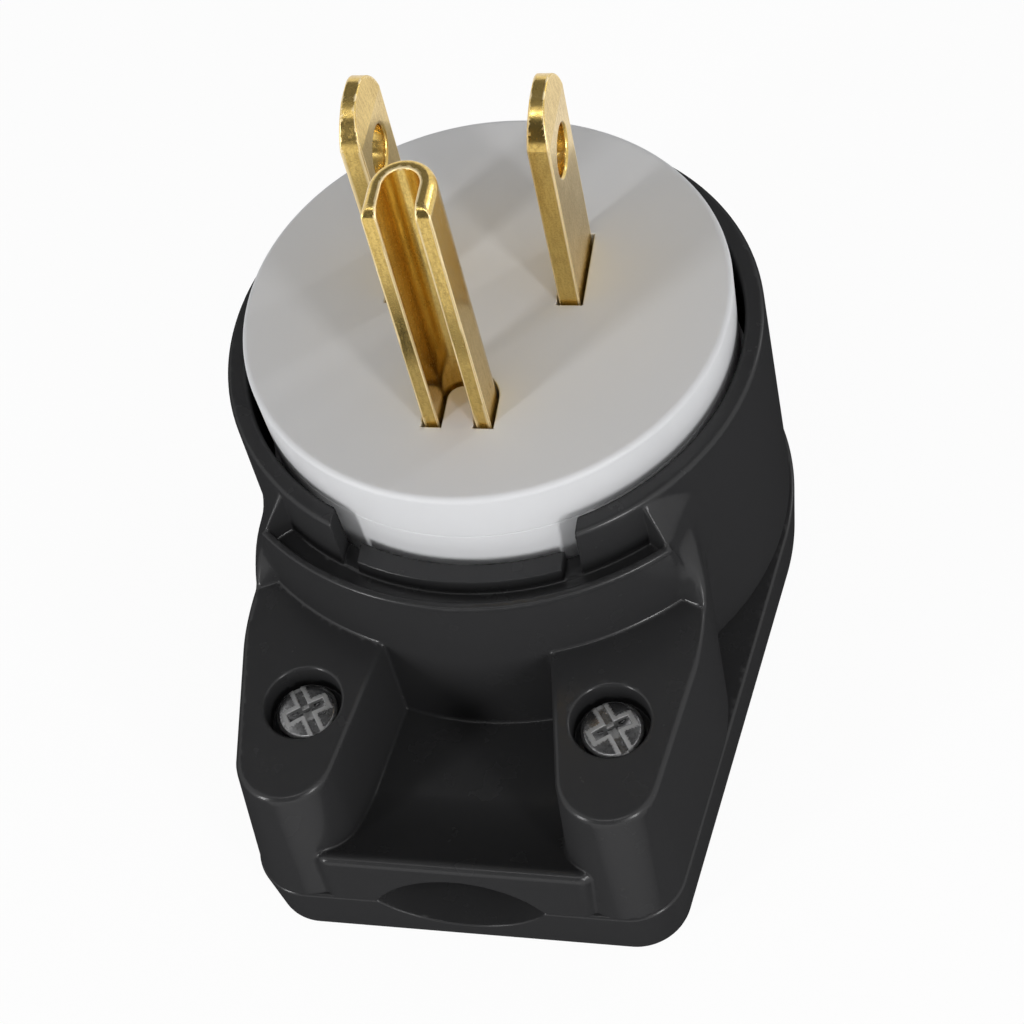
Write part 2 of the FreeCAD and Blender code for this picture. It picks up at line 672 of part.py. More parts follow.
def housing_nut(side):
    x = side * SCREW_X
    half = NUT_SIDE / 2
    nut = box(x - half, x + half, SCREW_Y - half, SCREW_Y + half, NUT_TOP_Z - NUT_H, NUT_TOP_Z)
    return nut.cut(cylinder(SCREW_SHANK_R + THREAD_FIT, -1, SEAM_Z, x, SCREW_Y))


def carrier_screw(place):
    x, y = place
    bearing = SKIRT_Z - CARRIER_PLATE
    head = cylinder(CARRIER_HEAD_R, bearing - CARRIER_HEAD_H, bearing, x, y)
    shank = cylinder(CARRIER_SCREW_R, bearing - 0.5, CARRIER_TIP_Z, x, y)
    return fuse([head, shank])


def save(name, shape):
    shape.exportStep("parts/" + name + ".step")
    print(name, len(shape.Solids), round(shape.Volume, 1), shape.isValid())


def build():
    save("base_shell", base_shell())
    save("top_housing", top_housing())
    save("face_disc", face_disc())
    save("contact_carrier", contact_carrier())
    save("line_blade", flat_blade(-1))
    save("neutral_blade", flat_blade(1))
    save("ground_pin", ground_pin())
    for name, place in terminal_places().items():
        save(name + "_pressure_plate", pressure_plate(place))
        save(name + "_terminal_screw", terminal_screw(place))
    for name, side in (("left", -1), ("right", 1)):
        save("housing_screw_" + name, housing_screw(side))
        save("housing_nut_" + name, housing_nut(side))
    for name, place in CARRIER_SCREWS.items():
        save("carrier_screw_" + name, carrier_screw(place))


build()
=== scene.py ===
"""Angled type B plug: a moulded black housing, a white face, brass contacts and plated screws.

Each moulded or stamped piece is described as a field, a function that is negative inside the
material, and its mesh follows the zero level of that field. All sizes are in millimetres.
"""
import logging
import math
from dataclasses import dataclass
from enum import Enum
from typing import Callable

import bpy
import numpy as np
from mathutils import Euler, Matrix, Vector


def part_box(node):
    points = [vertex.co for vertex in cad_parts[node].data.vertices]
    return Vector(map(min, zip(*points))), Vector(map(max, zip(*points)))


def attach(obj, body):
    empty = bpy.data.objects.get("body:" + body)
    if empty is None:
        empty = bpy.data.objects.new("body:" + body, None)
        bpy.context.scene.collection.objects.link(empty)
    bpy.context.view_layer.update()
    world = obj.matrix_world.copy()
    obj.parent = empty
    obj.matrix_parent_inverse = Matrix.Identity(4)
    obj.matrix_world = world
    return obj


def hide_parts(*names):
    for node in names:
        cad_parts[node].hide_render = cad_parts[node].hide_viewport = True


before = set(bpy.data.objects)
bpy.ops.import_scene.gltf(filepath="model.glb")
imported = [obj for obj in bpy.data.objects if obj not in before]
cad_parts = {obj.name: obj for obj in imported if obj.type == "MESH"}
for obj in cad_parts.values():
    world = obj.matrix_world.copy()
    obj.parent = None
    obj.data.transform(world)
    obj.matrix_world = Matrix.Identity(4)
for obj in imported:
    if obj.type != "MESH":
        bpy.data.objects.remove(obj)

log = logging.getLogger("plug")

MM = 0.001
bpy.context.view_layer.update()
BLADE_Y = 2.74
PIN_BEHIND_BLADES = 11.9
FOOT_SHEET = 1.5
TIP_BELOW_CAD = 0.5

Field = Callable[[np.ndarray], np.ndarray]


class Side(Enum):
    """The two sides of the plug, seen from above with the cord end toward the viewer."""

    LEFT = -1
    RIGHT = 1


def node_box(node: str) -> tuple[np.ndarray, np.ndarray]:
    """Lowest and highest corner of a CAD node, in millimetres."""
    low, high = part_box(node)
    return np.array(low) / MM, np.array(high) / MM


def bevelled_max(a: np.ndarray, b: np.ndarray, radius: float) -> np.ndarray:
    """Intersection of two fields whose shared edge is rounded.

    Args:
        a: Values of the first field.
        b: Values of the second field.
        radius: Radius of the rounded edge.

    Returns:
        Values of the joined field.
    """
    u = np.maximum(radius + a, 0.0)
    v = np.maximum(radius + b, 0.0)
    return np.minimum(-radius, np.maximum(a, b)) + np.hypot(u, v)


def filleted_min(a: np.ndarray, b: np.ndarray, radius: float) -> np.ndarray:
    """Union of two fields with a hollow fillet of the given radius between them."""
    return -bevelled_max(-a, -b, radius)


def carved(body: np.ndarray, tool: np.ndarray, radius: float) -> np.ndarray:
    """Body with the tool cut away, its fresh edges rounded by the given radius."""
    return bevelled_max(body, -tool, radius)


def smooth_step(value: np.ndarray) -> np.ndarray:
    """Rises softly from 0 to 1 as the value goes from 0 to 1."""
    share = np.clip(value, 0.0, 1.0)
    return share * share * (3.0 - 2.0 * share)


def eased(at: np.ndarray, places: tuple[float, ...], values: tuple[float, ...]) -> np.ndarray:
    """Smooth curve through a few points, level with its neighbours at the ends.

    Args:
        at: Where the curve is read.
        places: Rising places of the points.
        values: Values at those places.

    Returns:
        Values of the curve.
    """
    x = np.array(places)
    y = np.array(values)
    slopes = np.gradient(y, x)
    k = np.clip(np.searchsorted(x, at) - 1, 0, len(x) - 2)
    span = x[k + 1] - x[k]
    t = np.clip((at - x[k]) / span, 0.0, 1.0)
    ease = t * t * (3.0 - 2.0 * t)
    start = slopes[k] * span * t * (1.0 - t) ** 2
    end = slopes[k + 1] * span * t * t * (t - 1.0)
    return y[k] + (y[k + 1] - y[k]) * ease + start + end


def polar(radius: float, degrees: float) -> tuple[float, float]:
    """Point at an angle measured from -Y toward +X."""
    turn = math.radians(degrees)
    return radius * math.sin(turn), -radius * math.cos(turn)


def side_of_line(
    x: np.ndarray, y: np.ndarray, a: tuple[np.ndarray, np.ndarray], b: tuple[np.ndarray, np.ndarray]
) -> np.ndarray:
    """Distance to the right of the line from a to b.

    Args:
        x: X of each point.
        y: Y of each point.
        a: First point of the line, one value or one per point.
        b: Second point of the line, one value or one per point.

    Returns:
        Positive values to the right of the line, negative ones to its left.
    """
    dx = b[0] - a[0]
    dy = b[1] - a[1]
    return ((x - a[0]) * dy - (y - a[1]) * dx) / np.hypot(dx, dy)


def gradient(shape: Field, points: np.ndarray, reach: float = 0.01) -> np.ndarray:
    """Slope of a field at each point, by central differences."""
    slope = np.empty_like(points)
    for axis in range(3):
        step = np.zeros(3)
        step[axis] = reach
        slope[:, axis] = (shape(points + step) - shape(points - step)) / (2 * reach)
    return slope


@dataclass(frozen=True)
class SkinMaker:
    """Turns a field into a closed mesh that is fine on tight curves and coarse on flat walls.

    Attributes:
        step: Spacing of the first grid.
        miss: How far the middle of an edge may lie off the surface before the edge is split.
        shortest: Edges below this length are never split.
        rounds: How many times the mesh is refined.
        edge_reach: How far inside the surface its slope is read to mark the rounded edges.
        edge_turn: Change of slope that marks an edge in full.
    """

    step: float
    miss: float = 0.005
    shortest: float = 0.12
    rounds: int = 4
    edge_reach: float = 0.3
    edge_turn: float = 0.2

    def first_net(self, shape: Field, low: np.ndarray, high: np.ndarray) -> tuple[np.ndarray, np.ndarray]:
        """Closed net of squares around the zero level of a field.

        Args:
            shape: The field.
            low: Lowest corner of the box that holds the surface.
            high: Highest corner of that box.

        Returns:
            Vertices, and triangles as rows of three indices.
        """
        start = np.asarray(low) - 1.5 * self.step
        axes = [np.arange(start[k], high[k] + 2 * self.step, self.step) for k in range(3)]
        size = [len(axis) for axis in axes]
        grid = np.stack(np.meshgrid(*axes, indexing="ij"), -1).reshape(-1, 3)
        values = shape(grid).reshape(size)
        inside = values < 0
        cells = [n - 1 for n in size]
        corners = [np.array(c) for c in np.ndindex(2, 2, 2)]
        held = sum(self._shifted(inside, c, cells).astype(int) for c in corners)
        active = (held > 0) & (held < 8)
        where = np.argwhere(active)
        number = -np.ones(cells, int)
        number[active] = np.arange(len(where))
        total = np.zeros((len(where), 3))
        hits = np.zeros(len(where))
        for c in corners:
            for axis in range(3):
                if c[axis]:
                    continue
                d = c.copy()
                d[axis] = 1
                near = values[tuple((where + c).T)]
                far = values[tuple((where + d).T)]
                crossed = (near < 0) != (far < 0)
                share = near[crossed] / (near[crossed] - far[crossed])
                total[crossed] += c + share[:, None] * (d - c)
                hits[crossed] += 1
        vertices = start + (where + total / hits[:, None]) * self.step
        triangles = [self._squares(inside, number, axis, vertices) for axis in range(3)]
        return vertices, np.concatenate(triangles)

    @staticmethod
    def _shifted(values: np.ndarray, corner: np.ndarray, cells: list[int]) -> np.ndarray:
        """Values at one corner of every cell."""
        return values[tuple(slice(corner[k], corner[k] + cells[k]) for k in range(3))]

    @staticmethod
    def _squares(inside: np.ndarray, number: np.ndarray, axis: int, vertices: np.ndarray) -> np.ndarray:
        """Triangles that cross the grid edges of one axis, facing outward."""
        near = np.take(inside, range(inside.shape[axis] - 1), axis)
        far = np.take(inside, range(1, inside.shape[axis]), axis)
        node = np.argwhere(near != far)
        leaves = near[tuple(node.T)]
        u = (axis + 1) % 3
        v = (axis + 2) % 3
        ring = []
        for du, dv in ((0, 0), (-1, 0), (-1, -1), (0, -1)):
            cell = node.copy()
            cell[:, u] += du
            cell[:, v] += dv
            ring.append(number[tuple(cell.T)])
        square = np.stack(ring, 1)
        square[~leaves] = square[~leaves][:, ::-1]
        p = vertices[square]
        cut = np.linalg.norm(p[:, 0] - p[:, 2], axis=1) > np.linalg.norm(p[:, 1] - p[:, 3], axis=1)
        square[cut] = np.roll(square[cut], 1, axis=1)
        return np.concatenate([square[:, [0, 1, 2]], square[:, [0, 2, 3]]])

    @staticmethod
    def unit(slope: np.ndarray) -> np.ndarray:
        """Slopes drawn out or in to a length of 1."""
        return slope / np.maximum(np.linalg.norm(slope, axis=1), 1e-6)[:, None]

    def settled(self, shape: Field, points: np.ndarray, times: int) -> np.ndarray:
        """Points moved onto the surface by a few steps down the slope of the field."""
        for _ in range(times):
            slope = gradient(shape, points)
            value = np.clip(shape(points), -self.step, self.step)
            steep = np.maximum((slope**2).sum(1), 0.25)
            points = points - slope * (value / steep)[:, None]
        return points

    def refined(
        self, shape: Field, vertices: np.ndarray, triangles: np.ndarray
    ) -> tuple[np.ndarray, np.ndarray]:
        """One round of splitting every edge whose middle lies off the surface.

        Args:
            shape: The field.
            vertices: Vertices on the surface.
            triangles: Rows of three indices.

        Returns:
            The new vertices and triangles.
        """
        ends = np.sort(triangles[:, [0, 1, 1, 2, 2, 0]].reshape(-1, 2), axis=1)
        edges, row = np.unique(ends, axis=0, return_inverse=True)
        row = row.reshape(-1, 3)
        a = vertices[edges[:, 0]]
        b = vertices[edges[:, 1]]
        middle = (a + b) / 2
        split = (np.abs(shape(middle)) > self.miss) & (np.linalg.norm(a - b, axis=1) > self.shortest)
        fresh = self.settled(shape, middle[split], 3)
        name = -np.ones(len(edges), int)
        name[split] = len(vertices) + np.arange(len(fresh))
        vertices = np.concatenate([vertices, fresh])
        mids = name[row]
        marks = mids >= 0
        count = marks.sum(1)
        after_whole = np.where(count == 2, (np.argmin(marks, 1) + 1) % 3, 0)
        turn = np.where(count == 1, np.argmax(marks, 1), after_whole)
        order = (turn[:, None] + np.arange(3)) % 3
        tri = np.take_along_axis(triangles, order, 1)
        mid = np.take_along_axis(mids, order, 1)
        one, two, three = (count == n for n in (1, 2, 3))
        parts = [tri[count == 0]]
        parts.append(np.stack([tri[one, 0], mid[one, 0], tri[one, 2]], 1))
        parts.append(np.stack([mid[one, 0], tri[one, 1], tri[one, 2]], 1))
        parts.append(np.stack([mid[two, 0], tri[two, 1], mid[two, 1]], 1))
        parts.append(np.stack([tri[two, 0], mid[two, 0], mid[two, 1]], 1))
        parts.append(np.stack([tri[two, 0], mid[two, 1], tri[two, 2]], 1))
        parts.append(np.stack([tri[three, 0], mid[three, 0], mid[three, 2]], 1))
        parts.append(np.stack([mid[three, 0], tri[three, 1], mid[three, 1]], 1))
        parts.append(np.stack([mid[three, 2], mid[three, 1], tri[three, 2]], 1))
        parts.append(mid[three])
        return vertices, np.concatenate(parts)

    def make(self, name: str, shape: Field, low: np.ndarray, high: np.ndarray) -> bpy.types.Object:
        """Mesh object around the zero level of a field, shaded by the field's own slope.

        Args:
            name: Name of the object.
            shape: The field.
            low: Lowest corner of the box that holds the surface.
            high: Highest corner of that box.

        Returns:
            The new object, at the origin, in metres.
        """
        vertices, triangles = self.first_net(shape, low, high)
        vertices = self.settled(shape, vertices, 5)
        for _ in range(self.rounds):
            vertices, triangles = self.refined(shape, vertices, triangles)
        normals = self.unit(gradient(shape, vertices))
        mesh = bpy.data.meshes.new(name)
        mesh.from_pydata(vertices * MM, [], triangles)
        mesh.shade_smooth()
        mesh.normals_split_custom_set_from_vertices(normals)
        # Mask of the rounded edges; the metal finishes tint them with a painted highlight and make them
        # rougher.
        deep = self.unit(gradient(shape, vertices - normals * self.edge_reach))
        turned = 1.0 - (normals * deep).sum(1)
        layer = mesh.attributes.new("edge", "FLOAT", "POINT")
        layer.data.foreach_set("value", np.clip(turned / self.edge_turn, 0.0, 1.0).astype(np.float32))
        piece = bpy.data.objects.new(name, mesh)
        bpy.context.scene.collection.objects.link(piece)
        log.info("%s: %d triangles", name, len(triangles))
        return piece


HOUSING_SKIN = SkinMaker(step=0.37, shortest=0.17, miss=0.01, rounds=2)
BASE_SKIN = SkinMaker(step=0.45, shortest=0.1)
FACE_SKIN = SkinMaker(step=0.36)
CARRIER_SKIN = SkinMaker(step=0.45, shortest=0.2)
BRASS_SKIN = SkinMaker(step=0.22, shortest=0.06, miss=0.003, edge_reach=0.12)
SCREW_SKIN = SkinMaker(step=0.11, shortest=0.04, miss=0.003)


def lens(x: np.ndarray, z: np.ndarray, half: np.ndarray, rise: np.ndarray, depth: np.ndarray) -> np.ndarray:
    """Field of a lens made of two arcs that meet at the seam.

    Args:
        x: Distance from the middle.
        z: Height above the seam.
        half: Half width of the lens.
        rise: Height of the upper arc.
        depth: Depth of the lower arc.

    Returns:
        Values that are negative inside the lens.
    """
    upper = (half**2 + rise**2) / (2 * rise)
    lower = (half**2 + depth**2) / (2 * depth)
    above = np.hypot(x, z - rise + upper) - upper
    below = np.hypot(x, z + depth - lower) - lower
    return np.maximum(above, below)


@dataclass(frozen=True)
class CordEntry:
    """Lens-shaped mouth at the seam, which narrows to the grip and runs on into the cavity."""

    mouth_y: float = -37.56
    mouth_half: float = 6.3
    mouth_height: float = 3.6
    grip_y: float = -29.0
    grip_half: float = 5.4
    grip_rise: float = 1.7
    grip_depth: float = 3.2
    end_y: float = -17.0
    edge: float = 0.12

    def field(self, x: np.ndarray, y: np.ndarray, up: np.ndarray) -> np.ndarray:
        """Values negative in the passage, with up measured from the seam."""
        share = np.clip((y - self.mouth_y) / (self.grip_y - self.mouth_y), 0.0, 1.0)
        half = self.mouth_half + (self.grip_half - self.mouth_half) * share
        rise = self.mouth_height + (self.grip_rise - self.mouth_height) * share
        depth = self.mouth_height + (self.grip_depth - self.mouth_height) * share
        return np.maximum(lens(x, up, half, rise, depth), y - self.end_y)


@dataclass(frozen=True)
class Boss:
    """Drafted boss around one housing screw, mirrored to the other side."""

    top_tip: tuple[float, float] = (11.4, -31.0)
    top_radius: float = 3.6
    top_inner: tuple[float, float] = (6.1, -21.7)
    top_outer: tuple[float, float] = (17.05, -19.6)
    foot_tip: tuple[float, float] = (11.7, -32.36)
    foot_radius: float = 4.2
    foot_inner: tuple[float, float] = (5.95, -21.6)
    foot_outer: tuple[float, float] = (18.0, -20.3)
    hub_radius: float = 20.4
    hub_angle: float = 52.3
    edge: float = 0.4
    rear_round: float = 0.9
    screw: tuple[float, float] = (11.05, -26.84)
    recess: float = 2.8
    recess_edge: float = 0.22
    recess_floor: float = 14.25
    shank_hole: float = 1.65

    def outline(self, x: np.ndarray, y: np.ndarray, share: np.ndarray) -> np.ndarray:
        """Field of the outline at each height.

        Args:
            x: Distance from the middle plane, never negative.
            y: Y of each point.
            share: 0 at the foot of the boss and 1 at its top.

        Returns:
            Values that are negative inside the outline.
        """
        def between(foot: tuple[float, float], top: tuple[float, float]) -> tuple[np.ndarray, np.ndarray]:
            return tuple(f + (t - f) * share for f, t in zip(foot, top))

        tip = between(self.foot_tip, self.top_tip)
        radius = self.foot_radius + (self.top_radius - self.foot_radius) * share
        inner = between(self.foot_inner, self.top_inner)
        outer = between(self.foot_outer, self.top_outer)
        ax = x - tip[0]
        ay = y - tip[1]
        low_side = self._flank(tip, radius, inner, 1)
        high_side = self._flank(tip, radius, outer, -1)
        d_low = ax * low_side[0] + ay * low_side[1] - radius
        d_high = ax * high_side[0] + ay * high_side[1] - radius
        past_low = ax * low_side[1] - ay * low_side[0] > 0
        past_high = ax * high_side[1] - ay * high_side[0] < 0
        round_tip = np.hypot(ax, ay) - radius
        flanks = np.where(~past_low & ~past_high, round_tip, np.maximum(d_low, d_high))
        hub = polar(self.hub_radius, self.hub_angle)
        sides = bevelled_max(flanks, side_of_line(x, y, outer, hub), self.rear_round)
        return np.maximum(sides, y - hub[1])

    @staticmethod
    def _flank(
        tip: tuple[np.ndarray, np.ndarray], radius: np.ndarray, start: tuple[np.ndarray, np.ndarray],
        side: int,
    ) -> tuple[np.ndarray, np.ndarray]:
        """Outward direction of the flank that runs from a point to the round tip."""
        dx = tip[0] - start[0]
        dy = tip[1] - start[1]
        span = np.hypot(dx, dy)
        heading = np.arctan2(dy, dx) - side * np.arcsin(radius / span)
        return side * np.sin(heading), -side * np.cos(heading)


@dataclass(frozen=True)
class TopHousing:
    """Upper half of the housing, from the seam to the rim of the collar."""

    seam: float
    rim: float
    boss_top: float = 16.75
    ledge: float = 23.0
    groove: float = 21.5
    floor: float = 8.2
    lip: float = 10.6
    collar_top: float = 19.9
    collar_foot: float = 20.65
    collar_bore: float = 18.45
    cavity: float = 19.0
    shoulder: float = 18.0
    rim_round: float = 0.32
    wall_top: float = 22.2
    wall_foot: float = 23.1
    wall_heights: tuple[float, ...] = (17.0, 21.0, 23.0)
    wall_angles: tuple[float, ...] = (44.0, 43.0, 41.6)
    lip_thick: float = 0.45
    lip_round: float = 0.16
    lip_band: float = 0.6
    lip_proud: float = 0.13
    lip_blend: float = 0.16
    notch_half: float = 8.57
    tab_half: float = 7.37
    tab_top: float = 22.7
    slit_floor: float = 21.6
    notch_reach: float = 21.2
    notch_near: float = -14.0
    notch_edge: float = 0.1
    web_heights: tuple[float, ...] = (16.6, 18.0, 20.3, 21.4, 23.0, 25.75)
    web_near: tuple[tuple[float, float], ...] = (
        (15.4, -17.0), (14.9, -16.66), (14.78, -16.57), (14.75, -16.55), (14.55, -16.42), (12.7, -15.3)
    )
    web_corner: tuple[tuple[float, float], ...] = (
        (16.95, -17.9), (16.85, -16.75), (16.3, -15.3), (15.85, -14.35), (15.35, -13.65), (14.3, -13.95)
    )
    web_far: tuple[float, float] = (15.5, -11.0)
    web_soft: float = 0.8
    web_back: float = -10.0
    web_round: float = 0.3
    web_blend: float = 1.0
    web_blend_top: float = 25.4
    web_blend_fade: float = 2.5
    web_rise: float = 0.1
    web_sink: float = 0.3
    pocket_end: tuple[float, float] = (14.79, -16.59)
    pocket_end_angle: float = 54.0
    pocket_side: tuple[float, float] = (16.8, -19.7)
    pocket_side_angle: float = 12.0
    pocket_round: float = 2.8
    pocket_fade: float = 2.0
    join: float = 0.05
    block_half: float = 10.2
    block_corner: float = 1.2
    block_rear: float = -18.0
    front_y: float = -36.56
    front_lean: float = 0.55
    nose: float = 0.8
    floor_end: float = -29.3
    floor_bend: float = 1.65
    fillet: float = 0.22
    seam_edge: float = 0.2
    boss: Boss = Boss()
    entry: CordEntry = CordEntry()

    def _collar(self, r: np.ndarray, z: np.ndarray) -> np.ndarray:
        """Round tower with a rounded rim."""
        share = (z - self.seam) / (self.rim - self.seam)
        wall = r - self.collar_foot - (self.collar_top - self.collar_foot) * share
        return bevelled_max(wall, z - self.rim, self.rim_round)

    def _front_wall(self, x: np.ndarray, y: np.ndarray, z: np.ndarray, r: np.ndarray) -> np.ndarray:
        """Sloping wall in front of the collar, with the open groove behind its thin lip."""
        share = (z - self.seam) / (self.ledge - self.seam)
        cone = r - self.wall_foot - (self.wall_top - self.wall_foot) * share
        cone = cone - self.lip_proud * smooth_step((z - self.ledge + self.lip_band) / self.lip_blend)
        wall = bevelled_max(cone, z - self.ledge, self.lip_round)
        moat = np.maximum(r - self.wall_top + self.lip_thick, self.groove - z)
        wall = carved(wall, moat, self.lip_round)
        turn = np.radians(eased(z, self.wall_heights, self.wall_angles))
        return bevelled_max(wall, x * np.cos(turn) + y * np.sin(turn), self.lip_round)

    def _pocket(self, x: np.ndarray, y: np.ndarray) -> np.ndarray:
        """Plan of the open space over a boss, whose outer rear corner is rounded."""
        end = self._before(x, y, self.pocket_end, self.pocket_end_angle)
        side = self._before(x, y, self.pocket_side, self.pocket_side_angle)
        return bevelled_max(end, side, self.pocket_round)

    @staticmethod
    def _before(x: np.ndarray, y: np.ndarray, place: tuple[float, float], angle: float) -> np.ndarray:
        """Field of the open side of a line through a point, at an angle from -Y toward +X."""
        ahead = polar(1.0, angle)
        return -side_of_line(x, y, place, (place[0] + ahead[0], place[1] + ahead[1]))

    def _gusset(self, x: np.ndarray, y: np.ndarray, z: np.ndarray, pocket: np.ndarray) -> np.ndarray:
        """Web from the rim down to the rear corner of a boss, outside the pocket."""
        near = tuple(eased(z, self.web_heights, side) for side in zip(*self.web_near))
        corner = tuple(eased(z, self.web_heights, side) for side in zip(*self.web_corner))
        front = side_of_line(x, y, near, corner)
        web = bevelled_max(front, side_of_line(x, y, corner, self.web_far), self.web_soft)
        web = bevelled_max(web, -pocket, self.web_round)
        web = np.maximum(web, y - self.web_back)
        top = self.web_heights[-1] + self.web_rise
        return bevelled_max(web, np.maximum(z - top, self.boss_top - self.web_sink - z), self.web_round)

    def _front_block(self, x: np.ndarray, y: np.ndarray, z: np.ndarray) -> np.ndarray:
        """Trough floor that rises to the rounded lip over the cord entry."""
        run = self.floor_end - (self.front_y + self.front_lean)
        along = np.clip((self.floor_end - y) / run, 0.0, 1.2)
        height = self.floor + (self.lip - self.floor) * along**self.floor_bend
        slope = (self.lip - self.floor) * self.floor_bend * along ** (self.floor_bend - 1) / run
        top = (z - height) / np.hypot(1.0, slope)
        tall = self.lip - self.nose - self.seam
        lean = math.hypot(tall, self.front_lean)
        front = ((self.front_y - y) * tall + (z - self.seam) * self.front_lean) / lean
        face = bevelled_max(front, x - self.block_half, self.block_corner)
        return np.maximum(bevelled_max(face, top, self.nose), y - self.block_rear)

    def _cuts(self, body: np.ndarray, p: np.ndarray, x: np.ndarray, r: np.ndarray) -> np.ndarray:
        """Body with the bore, notch, slits, screw recesses and cord entry cut away."""
        y = p[:, 1]
        z = p[:, 2]
        bore = filleted_min(
            np.maximum(r - self.collar_bore, self.shoulder - 1.0 - z),
            np.maximum(r - self.cavity, z - self.shoulder),
            self.join,
        )
        body = carved(body, bore, self.rim_round)
        window = np.maximum(y - self.notch_near, r - self.notch_reach)
        notch = np.maximum(np.maximum(x - self.notch_half, self.tab_top - z), window)
        slit = np.maximum(np.maximum(x - self.notch_half, self.tab_half - x), self.slit_floor - z)
        body = carved(body, notch, self.notch_edge)
        body = carved(body, np.maximum(slit, window), self.notch_edge)
        across = np.hypot(x - self.boss.screw[0], y - self.boss.screw[1])
        recess = np.maximum(across - self.boss.recess, self.boss.recess_floor - z)
        body = carved(body, recess, self.boss.recess_edge)
        body = carved(body, across - self.boss.shank_hole, self.join)
        return carved(body, self.entry.field(x, y, z - self.seam), self.entry.edge)

    def field(self, p: np.ndarray) -> np.ndarray:
        """Field of the whole upper half."""
        x = np.abs(p[:, 0])
        y = p[:, 1]
        z = p[:, 2]
        r = np.hypot(x, y)
        share = (z - self.seam) / (self.boss_top - self.seam)
        boss = bevelled_max(self.boss.outline(x, y, share), z - self.boss_top, self.boss.edge)
        body = filleted_min(self._front_wall(x, y, z, r), self._front_block(x, y, z), self.fillet)
        body = filleted_min(body, boss, self.fillet)
        pocket = self._pocket(x, y)
        below = smooth_step((self.web_blend_top - z) / self.web_blend_fade)
        behind = smooth_step(pocket / self.pocket_fade)
        blend = self.join + self.web_blend * below * behind
        tower = filleted_min(self._gusset(x, y, z, pocket), self._collar(r, z), blend)
        body = filleted_min(body, tower, self.fillet)
        body = self._cuts(body, p, x, r)
        return bevelled_max(body, self.seam - z, self.seam_edge)

    def make(self) -> bpy.types.Object:
        """Mesh of the upper half."""
        low, high = node_box("top_housing")
        return HOUSING_SKIN.make("housing_top", self.field, low, high)


@dataclass(frozen=True)
class BaseShell:
    """Lower half of the housing: a flat plate with a round end and a straight cord end."""

    seam: float
    round_radius: float = 21.05
    round_y: float = -0.4
    side_taper: float = 9.3
    front_y: float = -36.56
    corner: float = 4.2
    draft: float = 0.23
    floor: float = 1.8
    cavity: float = 18.8
    foot_round: float = 0.15
    seam_edge: float = 0.28
    nut_half: float = 2.85
    nut_depth: float = 2.5
    shank_hole: float = 1.65
    screw: tuple[float, float] = (11.05, -26.84)
    entry: CordEntry = CordEntry()

    def _outline(self, x: np.ndarray, y: np.ndarray, inset: np.ndarray) -> np.ndarray:
        """Outline of the plate at each point, drawn in by the draft."""
        tilt = math.radians(self.side_taper)
        out = (math.cos(tilt), -math.sin(tilt))
        reach = self.round_radius - self.round_y * math.sin(tilt)
        corner_y = self.front_y + self.corner
        corner_x = (reach - self.corner + corner_y * math.sin(tilt)) / math.cos(tilt)
        behind = y - self.round_y
        flat_side = x * out[0] + behind * out[1] - self.round_radius
        round_end = np.hypot(x, behind) - self.round_radius
        side = np.where(x * math.sin(tilt) + behind * math.cos(tilt) > 0, round_end, flat_side)
        ax = x - corner_x
        ay = y - corner_y
        in_corner = (ax > 0) & (ax * math.sin(tilt) + ay * math.cos(tilt) < 0)
        plate = np.where(in_corner, np.hypot(ax, ay) - self.corner, np.maximum(side, self.front_y - y))
        return plate + inset

    def field(self, p: np.ndarray) -> np.ndarray:
        """Field of the whole lower half."""
        x = np.abs(p[:, 0])
        y = p[:, 1]
        z = p[:, 2]
        outline = self._outline(x, y, self.draft * (1.0 - z / self.seam))
        plate = bevelled_max(outline, -z, self.foot_round)
        plate = bevelled_max(plate, z - self.seam, self.seam_edge)
        plate = carved(plate, np.maximum(np.hypot(x, y) - self.cavity, self.floor - z), 0.1)
        nut = np.maximum(np.abs(x - self.screw[0]), np.abs(y - self.screw[1])) - self.nut_half
        plate = carved(plate, np.maximum(nut, z - self.nut_depth), 0.2)
        plate = carved(plate, np.hypot(x - self.screw[0], y - self.screw[1]) - self.shank_hole, 0.05)
        return carved(plate, self.entry.field(x, y, z - self.seam), self.entry.edge)

    def make(self) -> bpy.types.Object:
        """Mesh of the lower half."""
        low, high = node_box("base_shell")
        high[2] = self.seam
        return BASE_SKIN.make("housing_base", self.field, low, high)


@dataclass(frozen=True)
class PinSection:
    """U-shaped section of the ground pin, open toward the cord end."""

    centre_y: float
    width: float = 4.75
    sheet: float = 1.07
    leg_y: float = -11.5

    def field(self, x: np.ndarray, y: np.ndarray, grow: float) -> np.ndarray:
        """Values negative in the folded sheet, grown outward by the given amount."""
        behind = y - self.centre_y
        across = np.where(behind > 0, np.hypot(x, behind), np.abs(x))
        middle = (self.width - self.sheet) / 2
        wall = np.abs(across - middle) - self.sheet / 2 - grow
        return np.maximum(wall, self.leg_y - grow - y)


